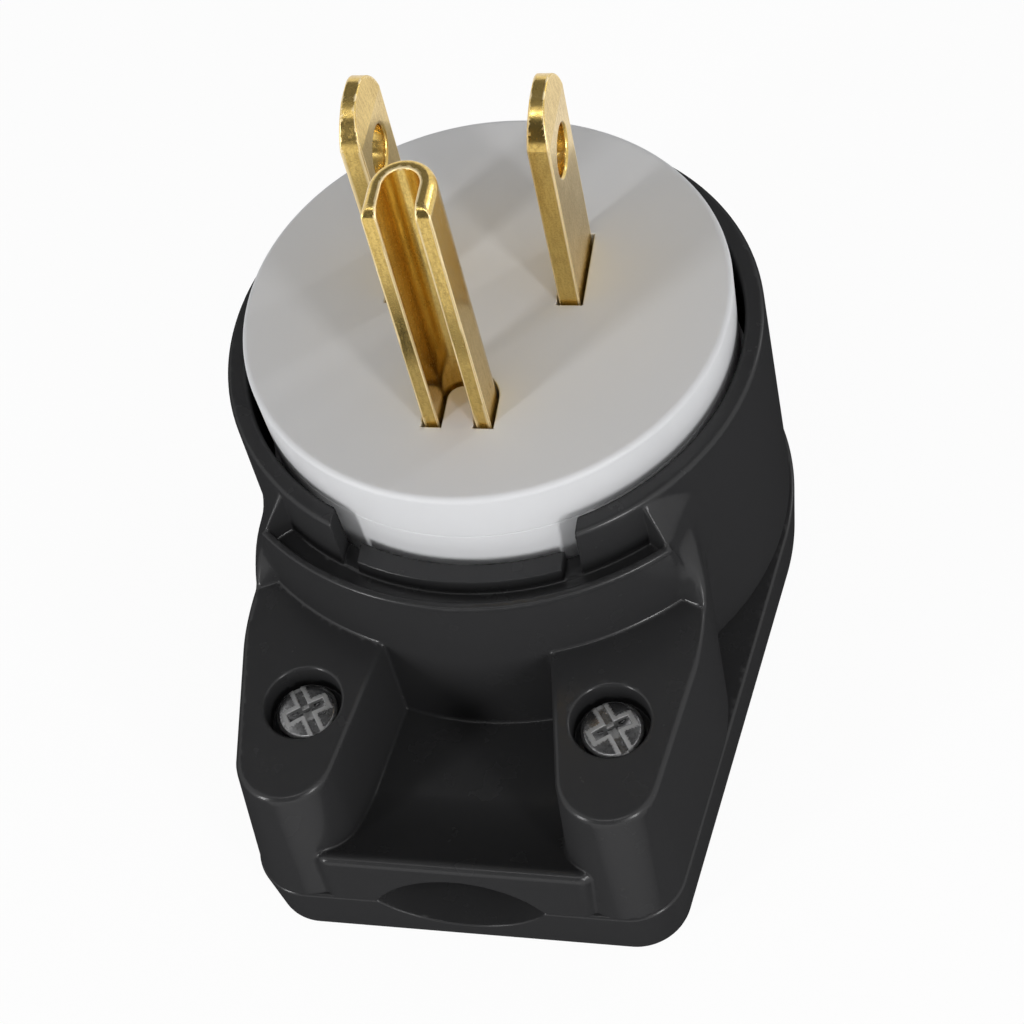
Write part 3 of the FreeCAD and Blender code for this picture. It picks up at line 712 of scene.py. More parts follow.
@dataclass(frozen=True)
class WhiteFace:
    """Round white face with slots for the two blades and the ground pin."""

    top: float
    section: PinSection
    radius: float = 17.87
    plate: float = 2.4
    skirt: float = 1.65
    skirt_low: float = 25.2
    edge: float = 0.45
    spacing: float = 12.7
    blade_y: float = BLADE_Y
    blade_half: float = 3.175
    blade_thick: float = 1.52
    clear: float = 0.2
    slot_edge: float = 0.1

    def field(self, p: np.ndarray) -> np.ndarray:
        """Field of the face."""
        x = np.abs(p[:, 0])
        y = p[:, 1]
        z = p[:, 2]
        r = np.hypot(x, y)
        disc = bevelled_max(r - self.radius, z - self.top, self.edge)
        disc = bevelled_max(disc, self.skirt_low - z, 0.08)
        disc = carved(disc, np.maximum(r - self.radius + self.skirt, z - self.top + self.plate), 0.05)
        wide = np.abs(y - self.blade_y) - self.blade_half - self.clear
        thick = np.abs(x - self.spacing / 2) - self.blade_thick / 2 - self.clear
        disc = carved(disc, np.maximum(wide, thick), self.slot_edge)
        return carved(disc, self.section.field(x, y, self.clear), self.slot_edge)

    def make(self) -> bpy.types.Object:
        """Mesh of the face."""
        low, high = node_box("face_disc")
        return FACE_SKIN.make("white_face", self.field, low, high)


@dataclass(frozen=True)
class Carrier:
    """White cup under the face, trapped by its flange under the shoulder of the housing."""

    section: PinSection
    low: float
    top: float = 25.2
    plate: float = 2.5
    radius: float = 17.87
    wall: float = 1.55
    flange: float = 18.85
    flange_low: float = 16.0
    flange_top: float = 18.0
    barrier: float = 1.5
    cross_y: float = -4.95
    cross_half: float = 8.5

    def field(self, p: np.ndarray) -> np.ndarray:
        """Field of the carrier."""
        x = np.abs(p[:, 0])
        y = p[:, 1]
        z = p[:, 2]
        r = np.hypot(x, y)
        under = self.top - self.plate
        cup = bevelled_max(r - self.radius, z - self.top, 0.08)
        foot = bevelled_max(r - self.flange, z - self.flange_top, 0.1)
        cup = bevelled_max(filleted_min(cup, foot, 0.1), self.flange_low - z, 0.1)
        cup = carved(cup, np.maximum(r - self.radius + self.wall, z - under), 0.1)
        half = self.barrier / 2
        along = np.maximum(x - half, np.maximum(self.cross_y - y, y - self.radius + self.wall + 0.6))
        across = np.maximum(np.abs(y - self.cross_y) - half, x - self.cross_half)
        walls = np.maximum(np.minimum(along, across), np.maximum(self.low - z, z - under - 0.1))
        return filleted_min(cup, bevelled_max(walls, self.low - z, 0.1), 0.1)

    def make(self) -> bpy.types.Object:
        """Mesh of the carrier."""
        low, high = node_box("contact_carrier")
        return CARRIER_SKIN.make("carrier", self.field, low, high)


@dataclass(frozen=True)
class FlatBlade:
    """Flat blade with a tapered tip, a cross hole and a terminal foot."""

    side: Side
    tip: float
    foot_low: float
    foot_top: float
    spacing: float = 12.7
    y: float = BLADE_Y
    half: float = 3.175
    thick: float = 1.52
    taper: float = 2.7
    tip_half: float = 0.8
    tip_thick: float = 1.0
    shoulder: float = 1.0
    drop: float = 0.85
    hole: float = 1.8
    hole_z: float = 41.5
    terminal_x: float = 11.2
    foot_reach: float = 3.3
    screw_hole: float = 1.75
    edge: float = 0.11
    hole_edge: float = 0.22

    def _profile(self, y: np.ndarray, z: np.ndarray) -> np.ndarray:
        """Outline of the blade seen from its flat side, with a curved taper at the tip."""
        centre, radius = self._tip_arc()
        across = np.abs(y) - centre[0]
        above = z - self.tip + self.taper - centre[1]
        arc = np.where(above > 0, np.hypot(across, above), across) - radius
        return bevelled_max(np.maximum(np.abs(y) - self.half, arc), z - self.tip, self.edge)

    def _tip_arc(self) -> tuple[tuple[float, float], float]:
        """Centre and radius of the arc through the start, the shoulder and the end of the taper."""
        start = complex(self.half, 0.0)
        middle = complex(self.half - self.shoulder, self.taper - self.drop)
        end = complex(self.tip_half, self.taper)
        turn = (end - start) / (middle - start)
        centre = start + (middle - start) * (turn - abs(turn) ** 2) / (2j * turn.imag)
        return (centre.real, centre.imag), abs(start - centre)

    def _sheet(self, x: np.ndarray, z: np.ndarray) -> np.ndarray:
        """Thickness of the blade, thinned toward the coined tip."""
        flat = np.abs(x - self.spacing / 2) - self.thick / 2
        lean = (self.thick - self.tip_thick) / 2 / self.taper
        coined = (flat + (z - self.tip + self.taper) * lean) / math.hypot(1.0, lean)
        return np.maximum(flat, coined)

    def field(self, p: np.ndarray) -> np.ndarray:
        """Field of the blade."""
        x = p[:, 0] * self.side.value
        y = p[:, 1] - self.y
        z = p[:, 2]
        centre = self.spacing / 2
        blade = bevelled_max(self._sheet(x, z), self._profile(y, z), self.edge)
        blade = carved(blade, np.hypot(y, z - self.hole_z) - self.hole, self.hole_edge)
        blade = bevelled_max(blade, self.foot_low - z, self.edge)
        flat = np.maximum(self.foot_low - z, z - self.foot_top)
        length = np.maximum(centre - x, x - self.terminal_x - self.foot_reach)
        foot = bevelled_max(bevelled_max(flat, np.abs(y) - self.half, self.edge), length, self.edge)
        foot = carved(foot, np.hypot(x - self.terminal_x, y) - self.screw_hole, 0.05)
        return filleted_min(blade, foot, 0.3)

    def make(self, node: str, name: str) -> bpy.types.Object:
        """Mesh of the blade that stands for one CAD node."""
        low, high = node_box(node)
        return BRASS_SKIN.make(name, self.field, low, high)


@dataclass(frozen=True)
class GroundPin:
    """Ground pin folded from sheet, with a coined tip edge and a terminal foot."""

    section: PinSection
    face_top: float
    tip: float
    foot_low: float
    foot_top: float
    tip_round: float = 0.75
    leg_round: float = 1.0
    foot_half: float = 2.975
    foot_y: float = -15.9
    screw_y: float = -13.3
    screw_hole: float = 1.75
    narrowing: float = 0.07
    edge: float = 0.11

    def field(self, p: np.ndarray) -> np.ndarray:
        """Field of the pin, which narrows a little toward its tip."""
        y = p[:, 1]
        z = p[:, 2]
        risen = np.clip((z - self.face_top) / (self.tip - self.face_top), 0.0, 1.0)
        x = np.abs(p[:, 0]) / (1.0 - self.narrowing * risen)
        behind = y - self.section.centre_y
        across = np.where(behind > 0, np.hypot(x, behind), x)
        outer = across - self.section.width / 2
        inner = self.section.width / 2 - self.section.sheet - across
        legs = self.section.leg_y - y
        pin = bevelled_max(outer, z - self.tip, self.tip_round)
        pin = bevelled_max(pin, np.maximum(inner, self.foot_low - z), self.edge)
        pin = bevelled_max(pin, bevelled_max(legs, z - self.tip, self.leg_round), self.edge)
        flat = np.maximum(self.foot_low - z, z - self.foot_top)
        length = np.maximum(self.foot_y - y, behind - self.section.width / 2)
        foot = bevelled_max(bevelled_max(flat, x - self.foot_half, self.edge), length, self.edge)
        foot = carved(foot, np.hypot(x, y - self.screw_y) - self.screw_hole, 0.05)
        return filleted_min(pin, foot, 0.2)

    def make(self) -> bpy.types.Object:
        """Mesh of the ground pin."""
        low, high = node_box("ground_pin")
        return BRASS_SKIN.make("pin_ground", self.field, low, high)


@dataclass(frozen=True)
class ScrewHead:
    """Head of a housing screw with a slot and a cross recess."""

    centre: tuple[float, float]
    top: float
    radius: float = 2.25
    height: float = 1.5
    turn: float = -57.0
    slot: float = 0.55
    cross: float = 0.7
    arm: float = 1.4
    depth: float = 0.55
    crown: float = 0.25
    shank: float = 1.2

    def field(self, p: np.ndarray) -> np.ndarray:
        """Field of the head and the neck under it."""
        turn = math.radians(self.turn)
        x = p[:, 0] - self.centre[0]
        y = p[:, 1] - self.centre[1]
        z = p[:, 2] - self.top
        r = np.hypot(x, y)
        crown = z + self.crown * (r / self.radius) ** 2
        head = bevelled_max(r - self.radius, crown, 0.3)
        head = bevelled_max(head, -self.height - z, 0.1)
        neck = np.maximum(np.maximum(r - self.shank, z + self.height - 0.2), -self.height - 0.6 - z)
        head = np.minimum(head, neck)
        along = x * math.cos(turn) + y * math.sin(turn)
        aside = -x * math.sin(turn) + y * math.cos(turn)
        slot = np.maximum(np.abs(aside) - self.slot / 2, -self.depth - z)
        deep = -self.depth - 0.5 + 0.5 * np.abs(aside)
        cross = np.maximum(np.maximum(np.abs(along) - self.cross / 2, np.abs(aside) - self.arm), deep - z)
        head = carved(head, slot, 0.06)
        return carved(head, cross, 0.06)

    def make(self, name: str) -> bpy.types.Object:
        """Mesh of the head."""
        x, y = self.centre
        low = np.array([x - self.radius, y - self.radius, self.top - self.height - 0.7])
        high = np.array([x + self.radius, y + self.radius, self.top])
        return SCREW_SKIN.make(name, self.field, low, high)


class NodeTree:
    """Small helper that adds nodes to a tree and links them in one call."""

    def __init__(self, tree: bpy.types.NodeTree) -> None:
        """Keeps the tree."""
        self.tree = tree

    def add(self, kind: str, links: dict | None = None, **settings: object) -> bpy.types.Node:
        """Adds one node.

        Args:
            kind: Type name of the node.
            links: Input names or numbers, each with an output socket or a plain value.
            settings: Properties of the node.

        Returns:
            The new node.
        """
        node = self.tree.nodes.new(kind)
        for name, value in settings.items():
            setattr(node, name, value)
        for key, value in (links or {}).items():
            if isinstance(value, bpy.types.NodeSocket):
                self.tree.links.new(value, node.inputs[key])
            else:
                node.inputs[key].default_value = value
        return node

    def mixed(
        self, share: bpy.types.NodeSocket, a: bpy.types.NodeSocket, b: bpy.types.NodeSocket
    ) -> bpy.types.NodeSocket:
        """Blend of two colours, all a at a share of 0 and all b at 1."""
        node = self.add("ShaderNodeMix", data_type="RGBA")
        for number, source in ((0, share), (6, a), (7, b)):
            self.tree.links.new(source, node.inputs[number])
        return node.outputs[2]


@dataclass(frozen=True)
class ScrewThread:
    """Thread of a screw: a ridge that winds up around a plain core."""

    centre: tuple[float, float]
    low: float
    high: float
    core: float = 1.12
    ridge: float = 0.26
    pitch: float = 0.7

    def tree(self) -> bpy.types.NodeTree:
        """Geometry tree that sweeps the ridge along a spiral and joins it to the core.

        Returns:
            A tree with the inputs Core, Ridge, Pitch, Height and Material.
        """
        name = "screw_thread"
        if name in bpy.data.node_groups:
            return bpy.data.node_groups[name]
        tree = bpy.data.node_groups.new(name, "GeometryNodeTree")
        face = tree.interface
        face.new_socket("Geometry", in_out="INPUT", socket_type="NodeSocketGeometry")
        for label in ("Core", "Ridge", "Pitch", "Height"):
            face.new_socket(label, in_out="INPUT", socket_type="NodeSocketFloat")
        face.new_socket("Material", in_out="INPUT", socket_type="NodeSocketMaterial")
        face.new_socket("Geometry", in_out="OUTPUT", socket_type="NodeSocketGeometry")
        net = NodeTree(tree)
        given = net.add("NodeGroupInput").outputs
        turns = net.add("ShaderNodeMath", {0: given["Height"], 1: given["Pitch"]}, operation="DIVIDE")
        spiral = net.add(
            "GeometryNodeCurveSpiral",
            {"Resolution": 40, "Rotations": turns.outputs[0], "Start Radius": given["Core"],
             "End Radius": given["Core"], "Height": given["Height"]},
        )
        profile = net.add(
            "GeometryNodeCurvePrimitiveCircle", {"Resolution": 4, "Radius": given["Ridge"]}, mode="RADIUS"
        )
        upright = net.add("GeometryNodeSetCurveNormal", {"Curve": spiral.outputs[0]}, mode="Z_UP")
        wound = net.add(
            "GeometryNodeCurveToMesh",
            {"Curve": upright.outputs[0], "Profile Curve": profile.outputs[0], "Fill Caps": True},
        )
        half = net.add("ShaderNodeMath", {0: given["Height"], 1: 0.5}, operation="MULTIPLY")
        middle = net.add("ShaderNodeCombineXYZ", {"Z": half.outputs[0]})
        rod = net.add(
            "GeometryNodeMeshCylinder", {"Vertices": 40, "Radius": given["Core"], "Depth": given["Height"]}
        )
        raised = net.add(
            "GeometryNodeTransform", {"Geometry": rod.outputs[0], "Translation": middle.outputs[0]}
        )
        joined = net.add("GeometryNodeJoinGeometry")
        for part in (raised, wound):
            tree.links.new(part.outputs[0], joined.inputs[0])
        real = net.add("GeometryNodeRealizeInstances", {"Geometry": joined.outputs[0]})
        final = net.add(
            "GeometryNodeSetMaterial", {"Geometry": real.outputs[0], "Material": given["Material"]}
        )
        net.add("NodeGroupOutput", {"Geometry": final.outputs[0]})
        return tree

    def make(self, name: str, material: bpy.types.Material) -> bpy.types.Object:
        """Threaded shank as a plain mesh.

        Args:
            name: Name of the object.
            material: Its material.

        Returns:
            The new object, at the origin, in metres.
        """
        seed = bpy.data.objects.new(name + "_start", bpy.data.meshes.new(name + "_start"))
        bpy.context.scene.collection.objects.link(seed)
        tree = self.tree()
        winder = seed.modifiers.new("thread", "NODES")
        winder.node_group = tree
        given = {
            "Core": self.core * MM,
            "Ridge": self.ridge * MM,
            "Pitch": self.pitch * MM,
            "Height": (self.high - self.low) * MM,
            "Material": material,
        }
        for item in tree.interface.items_tree:
            if item.in_out == "INPUT" and item.name in given:
                winder[item.identifier] = given[item.name]
        seed.update_tag()
        wound = seed.evaluated_get(bpy.context.evaluated_depsgraph_get())
        mesh = bpy.data.meshes.new_from_object(wound)
        mesh.name = name
        seed.modifiers.remove(winder)
        bpy.data.objects.remove(seed)
        mesh.transform(Matrix.Translation(Vector((*self.centre, self.low)) * MM))
        piece = bpy.data.objects.new(name, mesh)
        bpy.context.scene.collection.objects.link(piece)
        log.info("%s: %d faces", name, len(mesh.polygons))
        return piece


def object_points(net: NodeTree) -> bpy.types.NodeSocket:
    """Object coordinates, in metres."""
    return net.add("ShaderNodeTexCoord").outputs["Object"]


def seen_rays(net: NodeTree) -> bpy.types.NodeSocket:
    """1 for rays from the camera, from glossy surfaces and through clear ones, else 0."""
    path = net.add("ShaderNodeLightPath").outputs
    seen = net.add(
        "ShaderNodeMath", {0: path["Is Camera Ray"], 1: path["Is Glossy Ray"]}, operation="MAXIMUM"
    )
    seen = net.add(
        "ShaderNodeMath", {0: seen.outputs[0], 1: path["Is Transmission Ray"]}, operation="MAXIMUM"
    )
    return seen.outputs[0]


def moulded_grain_group() -> bpy.types.NodeTree:
    """Shared group for moulded plastic: a fine skin, faint flow waves and a change of gloss.

    Returns:
        A shader node tree with the inputs Point, Gloss Low and Gloss High, and the outputs
        Height and Roughness.
    """
    tree = bpy.data.node_groups.new("moulded_grain", "ShaderNodeTree")
    face = tree.interface
    face.new_socket("Point", in_out="INPUT", socket_type="NodeSocketVector")
    for name in ("Gloss Low", "Gloss High"):
        face.new_socket(name, in_out="INPUT", socket_type="NodeSocketFloat")
    for name in ("Height", "Roughness"):
        face.new_socket(name, in_out="OUTPUT", socket_type="NodeSocketFloat")
    net = NodeTree(tree)
    given = net.add("NodeGroupInput").outputs
    fine = net.add("ShaderNodeTexNoise", {"Vector": given["Point"], "Scale": 2600.0, "Detail": 3.0})
    wave = net.add("ShaderNodeTexNoise", {"Vector": given["Point"], "Scale": 170.0, "Detail": 2.0})
    faded = net.add("ShaderNodeMath", {0: wave.outputs[0], 1: 3.0}, operation="MULTIPLY")
    height = net.add("ShaderNodeMath", {0: fine.outputs[0], 1: faded.outputs[0]}, operation="ADD")
    gloss = net.add("ShaderNodeTexNoise", {"Vector": given["Point"], "Scale": 420.0, "Detail": 4.0})
    rough = net.add(
        "ShaderNodeMapRange",
        {"Value": gloss.outputs[0], "From Min": 0.35, "From Max": 0.65, "To Min": given["Gloss Low"],
         "To Max": given["Gloss High"]},
    )
    net.add("NodeGroupOutput", {"Height": height.outputs[0], "Roughness": rough.outputs[0]})
    return tree


def metal_grain_group() -> bpy.types.NodeTree:
    """Shared group for rolled or plated metal: rolling marks, fine pits, random tint, rougher rounded edges
    and a painted highlight on them.

    Returns:
        A shader node tree with the inputs Point, Stretch, Bright, Dull, Edge Highlight and Edge, and the
        outputs Color, Height and Roughness.
    """
    tree = bpy.data.node_groups.new("metal_grain", "ShaderNodeTree")
    face = tree.interface
    face.new_socket("Point", in_out="INPUT", socket_type="NodeSocketVector")
    face.new_socket("Stretch", in_out="INPUT", socket_type="NodeSocketVector")
    for name in ("Bright", "Dull", "Rubbed"):
        face.new_socket(name, in_out="INPUT", socket_type="NodeSocketColor")
    face.new_socket("Edge", in_out="INPUT", socket_type="NodeSocketFloat")
    face.new_socket("Color", in_out="OUTPUT", socket_type="NodeSocketColor")
    for name in ("Height", "Roughness"):
        face.new_socket(name, in_out="OUTPUT", socket_type="NodeSocketFloat")
    net = NodeTree(tree)
    given = net.add("NodeGroupInput").outputs
    drawn = net.add("ShaderNodeVectorMath", {0: given["Point"], 1: given["Stretch"]}, operation="MULTIPLY")
    lines = net.add("ShaderNodeTexNoise", {"Vector": drawn.outputs[0], "Scale": 5200.0, "Detail": 3.0})
    pits = net.add("ShaderNodeTexNoise", {"Vector": given["Point"], "Scale": 7000.0, "Detail": 2.0})
    blotch = net.add("ShaderNodeTexNoise", {"Vector": given["Point"], "Scale": 420.0, "Detail": 3.0})
    height = net.add("ShaderNodeMath", {0: lines.outputs[0], 1: pits.outputs[0]}, operation="ADD")
    speck = net.add(
        "ShaderNodeMapRange",
        {"Value": height.outputs[0], "From Min": 0.85, "From Max": 1.3, "To Min": 0.0, "To Max": 0.8},
    )
    stain = net.add(
        "ShaderNodeMapRange",
        {"Value": blotch.outputs[0], "From Min": 0.4, "From Max": 0.75, "To Min": 0.0, "To Max": 0.3},
    )
    share = net.add(
        "ShaderNodeMath", {0: speck.outputs[0], 1: stain.outputs[0]}, operation="ADD", use_clamp=True
    )
    tint = net.mixed(share.outputs[0], given["Bright"], given["Dull"])
    # Painted highlight: the rounded edges are tinted toward the lighter edge colour.
    colour = net.mixed(given["Edge"], tint, given["Rubbed"])
    rough = net.add(
        "ShaderNodeMapRange",
        {"Value": share.outputs[0], "From Min": 0.0, "From Max": 1.0, "To Min": 0.17, "To Max": 0.3},
    )
    # Roughness rises on the rounded edges as well.
    edge_highlight_and_rub = net.add(
        "ShaderNodeMapRange",
        {"Value": given["Edge"], "From Min": 0.0, "From Max": 1.0, "To Min": rough.outputs[0], "To Max": 0.6},
    )
    net.add("NodeGroupOutput", {"Color": colour, "Height": height.outputs[0], "Roughness": edge_highlight_and_rub.outputs[0]})
    return tree


@dataclass(frozen=True)
class MouldedPlastic:
    """Finish of a moulded plastic piece."""

    name: str
    colour: tuple[float, float, float]
    gloss: tuple[float, float]
    bump: float
    depth: float = 0.02
    specular: float = 0.5
    fade: float = 1.0
    fade_start: float = 0.22
    fade_end: float = 0.48

    def make(self, grain: bpy.types.NodeTree) -> bpy.types.Material:
        """Material with the shared moulded grain."""
        material = bpy.data.materials.new(self.name)
        material.use_nodes = True
        net = NodeTree(material.node_tree)
        shader = material.node_tree.nodes["Principled BSDF"]
        shader.inputs["Base Color"].default_value = (*self.colour, 1.0)
        shader.inputs["Specular IOR Level"].default_value = self.specular
        if self.fade < 1.0:
            self._fade_at_low_angles(net, shader)
        group = net.add("ShaderNodeGroup", node_tree=grain)
        net.tree.links.new(object_points(net), group.inputs["Point"])
        group.inputs["Gloss Low"].default_value = self.gloss[0]
        group.inputs["Gloss High"].default_value = self.gloss[1]
        bump = net.add(
            "ShaderNodeBump",
            {"Height": group.outputs["Height"], "Strength": self.bump, "Distance": self.depth * MM},
        )
        net.tree.links.new(bump.outputs["Normal"], shader.inputs["Normal"])
        net.tree.links.new(group.outputs["Roughness"], shader.inputs["Roughness"])
        return material

    def _fade_at_low_angles(self, net: NodeTree, shader: bpy.types.Node) -> None:
        """Weakens the sheen of a faintly textured surface where it is seen at a low angle."""
        facing = net.add("ShaderNodeLayerWeight", {"Blend": 0.5}).outputs["Facing"]
        level = net.add(
            "ShaderNodeMapRange",
            {"Value": facing, "From Min": self.fade_start, "From Max": self.fade_end,
             "To Min": self.specular, "To Max": self.specular * self.fade},
        )
        net.tree.links.new(level.outputs[0], shader.inputs["Specular IOR Level"])


@dataclass(frozen=True)
class SheetMetal:
    """Finish of a brass or plated steel piece."""

    name: str
    bright: tuple[float, float, float]
    dull: tuple[float, float, float]
    # Lighter colour tinted onto the rounded edges: a painted highlight.
    edge_highlight_and_rub: tuple[float, float, float] = (0.8, 0.8, 0.8)
    stretch: tuple[float, float, float] = (1.0, 1.0, 1.0)
    bump: float = 0.2
    depth: float = 0.01

    def make(self, grain: bpy.types.NodeTree) -> bpy.types.Material:
        """Material with the shared metal grain."""
        material = bpy.data.materials.new(self.name)
        material.use_nodes = True
        net = NodeTree(material.node_tree)
        shader = material.node_tree.nodes["Principled BSDF"]
        shader.inputs["Metallic"].default_value = 1.0
        group = net.add("ShaderNodeGroup", node_tree=grain)
        net.tree.links.new(object_points(net), group.inputs["Point"])
        edge = net.add("ShaderNodeAttribute", attribute_name="edge")
        net.tree.links.new(edge.outputs["Fac"], group.inputs["Edge"])
        group.inputs["Stretch"].default_value = self.stretch
        # Bright and dull mix at random; the third colour is a painted highlight on the rounded edges.
        for name, colour in (("Bright", self.bright), ("Dull", self.dull), ("Rubbed", self.edge_highlight_and_rub)):
            group.inputs[name].default_value = (*colour, 1.0)
        bump = net.add(
            "ShaderNodeBump",
            {"Height": group.outputs["Height"], "Strength": self.bump, "Distance": self.depth * MM},
        )
        net.tree.links.new(bump.outputs["Normal"], shader.inputs["Normal"])
        net.tree.links.new(group.outputs["Color"], shader.inputs["Base Color"])
        net.tree.links.new(group.outputs["Roughness"], shader.inputs["Roughness"])
        return material


@dataclass(frozen=True)
class Studio:
    """Pale floor, soft boxes, plain surround and the camera."""

    place: tuple[float, float, float] = (34.25, -92.47, 139.06)
    target: tuple[float, float, float] = (2.423, -12.131, 20.0)
    roll: float = -15.709
    lens: float = 71.75
    surround: float = 0.43

    def camera(self) -> None:
        """Camera at the place and turn that the picture was taken from."""
        data = bpy.data.cameras.new("camera")
        data.lens = self.lens
        data.sensor_width = 36.0
        data.clip_start = 0.01
        view = bpy.data.objects.new("camera", data)
        place = Vector(self.place) * MM
        aim = (Vector(self.target) * MM - place).to_track_quat("-Z", "Y")
        view.location = place
        roll = Euler((0, 0, math.radians(self.roll))).to_matrix()
        view.rotation_euler = (aim.to_matrix() @ roll).to_euler()
        bpy.context.scene.collection.objects.link(view)
        bpy.context.scene.camera = view

    def soft_box(
        self, name: str, place: tuple[float, float, float], target: tuple[float, float, float],
        size: tuple[float, float], power: float
    ) -> None:
        """Area lamp.

        Args:
            name: Name of the lamp.
            place: Its middle, in millimetres.
            target: The point it faces, in millimetres.
            size: Its width and height, in millimetres.
            power: Its power in watts.
        """
        data = bpy.data.lights.new(name, "AREA")
        data.shape = "RECTANGLE"
        data.size = size[0] * MM
        data.size_y = size[1] * MM
        data.energy = power
        lamp = bpy.data.objects.new(name, data)
        lamp.location = Vector(place) * MM
        lamp.rotation_euler = (Vector(target) - Vector(place)).to_track_quat("-Z", "Y").to_euler()
        bpy.context.scene.collection.objects.link(lamp)

    def dark_card(
        self, name: str, place: tuple[float, float, float], target: tuple[float, float, float],
        size: tuple[float, float], shade: float
    ) -> None:
        """Dark card beside the lamps, which gives the bright metal something dark to mirror.

        Args:
            name: Name of the card.
            place: Its middle, in millimetres.
            target: The point it faces, in millimetres.
            size: Its width and height, in millimetres.
            shade: How much light it returns.
        """
        x = size[0] / 2 * MM
        y = size[1] / 2 * MM
        mesh = bpy.data.meshes.new(name)
        mesh.from_pydata([(-x, -y, 0), (x, -y, 0), (x, y, 0), (-x, y, 0)], [], [(0, 1, 2, 3)])
        card = bpy.data.objects.new(name, mesh)
        card.matrix_world = (
            Matrix.Translation(Vector(place) * MM)
            @ (Vector(target) - Vector(place)).to_track_quat("Z", "Y").to_matrix().to_4x4()
        )
        card.visible_camera = False
        bpy.context.scene.collection.objects.link(card)
        material = bpy.data.materials.new(name)
        material.use_nodes = True
        shader = material.node_tree.nodes["Principled BSDF"]
        shader.inputs["Base Color"].default_value = (shade, shade, shade, 1.0)
        shader.inputs["Roughness"].default_value = 0.9
        mesh.materials.append(material)

    def surroundings(self) -> None:
        """Plain grey surround that the camera and mirrors see as white."""
        world = bpy.data.worlds.new("surround")
        world.use_nodes = True
        bpy.context.scene.world = world
        net = NodeTree(world.node_tree)
        back = world.node_tree.nodes["Background"]
        level = net.add(
            "ShaderNodeMapRange", {"Value": seen_rays(net), "To Min": self.surround, "To Max": 1.0}
        )
        net.tree.links.new(level.outputs[0], back.inputs["Strength"])
        back.inputs["Color"].default_value = (1.0, 1.0, 1.0, 1.0)

    def floor(self) -> None:
        """Large white floor that keeps the soft shadow of the plug."""
        mesh = bpy.data.meshes.new("floor")
        reach = 3.0
        mesh.from_pydata([(-reach, -reach, 0), (reach, -reach, 0), (reach, reach, 0), (-reach, reach, 0)], [],
                         [(0, 1, 2, 3)])
        floor = bpy.data.objects.new("floor", mesh)
        bpy.context.scene.collection.objects.link(floor)
        material = bpy.data.materials.new("floor_white")
        material.use_nodes = True
        net = NodeTree(material.node_tree)
        net.tree.nodes.remove(net.tree.nodes["Principled BSDF"])
        matte = net.add("ShaderNodeBsdfDiffuse", {"Color": (0.9, 0.9, 0.9, 1.0)})
        glow = net.add("ShaderNodeEmission", {"Color": (1.0, 1.0, 1.0, 1.0), "Strength": 1.0})
        share = net.add("ShaderNodeMath", {0: seen_rays(net), 1: 0.95}, operation="MULTIPLY")
        mixed = net.add("ShaderNodeMixShader", {0: share.outputs[0], 1: matte.outputs[0], 2: glow.outputs[0]})
        net.tree.links.new(mixed.outputs[0], net.tree.nodes["Material Output"].inputs["Surface"])
        mesh.materials.append(material)

    def build(self) -> None:
        """Sets up the whole studio."""
        self.camera()
        self.surroundings()
        self.floor()
        aim = (0.0, -8.0, 22.0)
        self.soft_box("left_box", (-235.0, -290.0, 130.0), aim, (50.0, 180.0), 0.62)
        self.soft_box("right_box", (260.0, -265.0, 120.0), aim, (45.0, 180.0), 0.6)
        self.soft_box("rear_strip", (280.0, 230.0, 170.0), aim, (25.0, 200.0), 0.14)
        self.soft_box("top_strip", (20.0, -190.0, 400.0), aim, (240.0, 20.0), 0.14)
        self.dark_card("rear_card", (-56.0, 137.0, 245.0), aim, (240.0, 240.0), 0.25)
        self.dark_card("front_card", (-20.0, -330.0, 195.0), aim, (360.0, 390.0), 0.06)
        self.dark_card("top_card", (0.0, 20.0, 330.0), aim, (240.0, 220.0), 0.2)
        bpy.context.scene.view_settings.view_transform = "Standard"


@dataclass(frozen=True)
class Finishes:
    """All materials of the plug."""

    housing: bpy.types.Material
    white: bpy.types.Material
    brass: bpy.types.Material
    steel: bpy.types.Material
    nickel: bpy.types.Material
    green: bpy.types.Material

    @staticmethod
    def make() -> "Finishes":
        """Builds the shared groups and every material."""
        plastic = moulded_grain_group()
        metal = metal_grain_group()
        black = MouldedPlastic(
            "black_moulding", (0.03, 0.03, 0.031), (0.2, 0.28), bump=0.1, specular=0.26, fade=0.0
        )
        white = MouldedPlastic(
            "white_moulding", (0.7, 0.706, 0.72), (0.48, 0.58), bump=0.12, specular=0.4
        )
        # The third colour of each metal is a painted highlight on its rounded edges; nickel keeps the default
        # one.
        brass = SheetMetal(
            "rolled_brass", (0.8, 0.57, 0.18), (0.54, 0.37, 0.11), (0.95, 0.8, 0.5), (1.0, 1.0, 0.15)
        )
        steel = SheetMetal("plated_steel", (0.26, 0.26, 0.265), (0.09, 0.09, 0.09), (0.42, 0.42, 0.42))
        nickel = SheetMetal("nickel_plate", (0.7, 0.68, 0.62), (0.5, 0.47, 0.42))
        green = SheetMetal("green_dyed_steel", (0.05, 0.32, 0.1), (0.03, 0.2, 0.06), (0.1, 0.4, 0.15))
        return Finishes(
            housing=black.make(plastic),
            white=white.make(plastic),
            brass=brass.make(metal),
            steel=steel.make(metal),
            nickel=nickel.make(metal),
            green=green.make(metal),
        )


def dress(piece: bpy.types.Object, material: bpy.types.Material, slot: str, *nodes: str) -> None:
    """Gives a piece its material and ties it to the frame.

    Args:
        piece: The finished piece.
        material: Its material.
        slot: Not used.
        nodes: The CAD nodes it stands for.
    """
    piece.data.materials.clear()
    piece.data.materials.append(material)
    if nodes:
        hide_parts(*nodes)
    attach(piece, "root")
    log.info("%s dressed", piece.name)


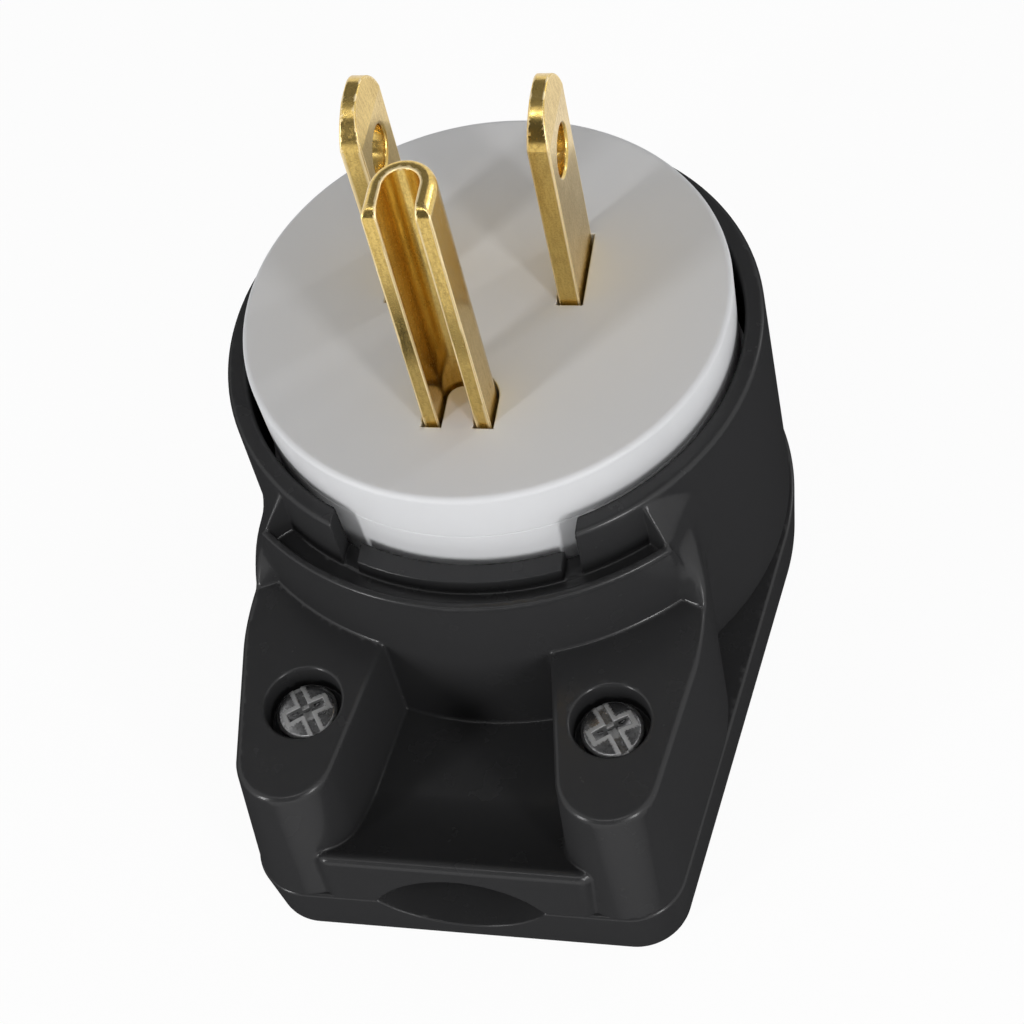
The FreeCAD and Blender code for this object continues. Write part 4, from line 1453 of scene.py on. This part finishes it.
def paint_node(node: str, material: bpy.types.Material) -> None:
    """Gives a CAD node that stays in view its material."""
    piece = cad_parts[node]
    piece.data.materials.clear()
    piece.data.materials.append(material)


def main() -> None:
    """Builds every piece in order."""
    logging.basicConfig(level=logging.INFO)
    finishes = Finishes.make()
    seam = node_box("top_housing")[0][2]
    rim = node_box("top_housing")[1][2]
    face_top = node_box("face_disc")[1][2]
    dress(TopHousing(seam, rim).make(), finishes.housing, "housing_plastic", "top_housing")
    dress(BaseShell(seam).make(), finishes.housing, "base_plastic", "base_shell")
    section = PinSection(centre_y=BLADE_Y - PIN_BEHIND_BLADES)
    dress(WhiteFace(face_top, section).make(), finishes.white, "face_plastic", "face_disc")
    carrier_low = node_box("contact_carrier")[0][2]
    dress(Carrier(section, carrier_low).make(), finishes.white, "carrier_plastic", "contact_carrier")
    foot_low = node_box("line_blade")[0][2]
    foot_top = foot_low + FOOT_SHEET
    for node, side in (("line_blade", Side.LEFT), ("neutral_blade", Side.RIGHT)):
        blade = FlatBlade(side, node_box(node)[1][2] - TIP_BELOW_CAD, foot_low, foot_top)
        dress(blade.make(node, "blade_" + node.split("_")[0]), finishes.brass, "blade_brass", node)
    pin = GroundPin(section, face_top, node_box("ground_pin")[1][2], foot_low, foot_top)
    dress(pin.make(), finishes.brass, "pin_brass", "ground_pin")
    for name, side in (("left", Side.LEFT), ("right", Side.RIGHT)):
        node = "housing_screw_" + name
        low, high = node_box(node)
        head = ScrewHead(((low[0] + high[0]) / 2, (low[1] + high[1]) / 2), high[2])
        dress(head.make("screw_head_" + name), finishes.steel, "housing_screw_steel", node)
        thread = ScrewThread(head.centre, low[2] + 0.3, head.top - head.height - 0.3)
        dress(thread.make("screw_thread_" + name, finishes.steel), finishes.steel, "housing_screw_steel")
    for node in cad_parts:
        if "pressure_plate" in node or "nut" in node or "carrier_screw" in node:
            paint_node(node, finishes.steel)
    paint_node("line_terminal_screw", finishes.brass)
    paint_node("neutral_terminal_screw", finishes.nickel)
    paint_node("ground_terminal_screw", finishes.green)
    Studio().build()


if __name__ == "__main__":
    main()
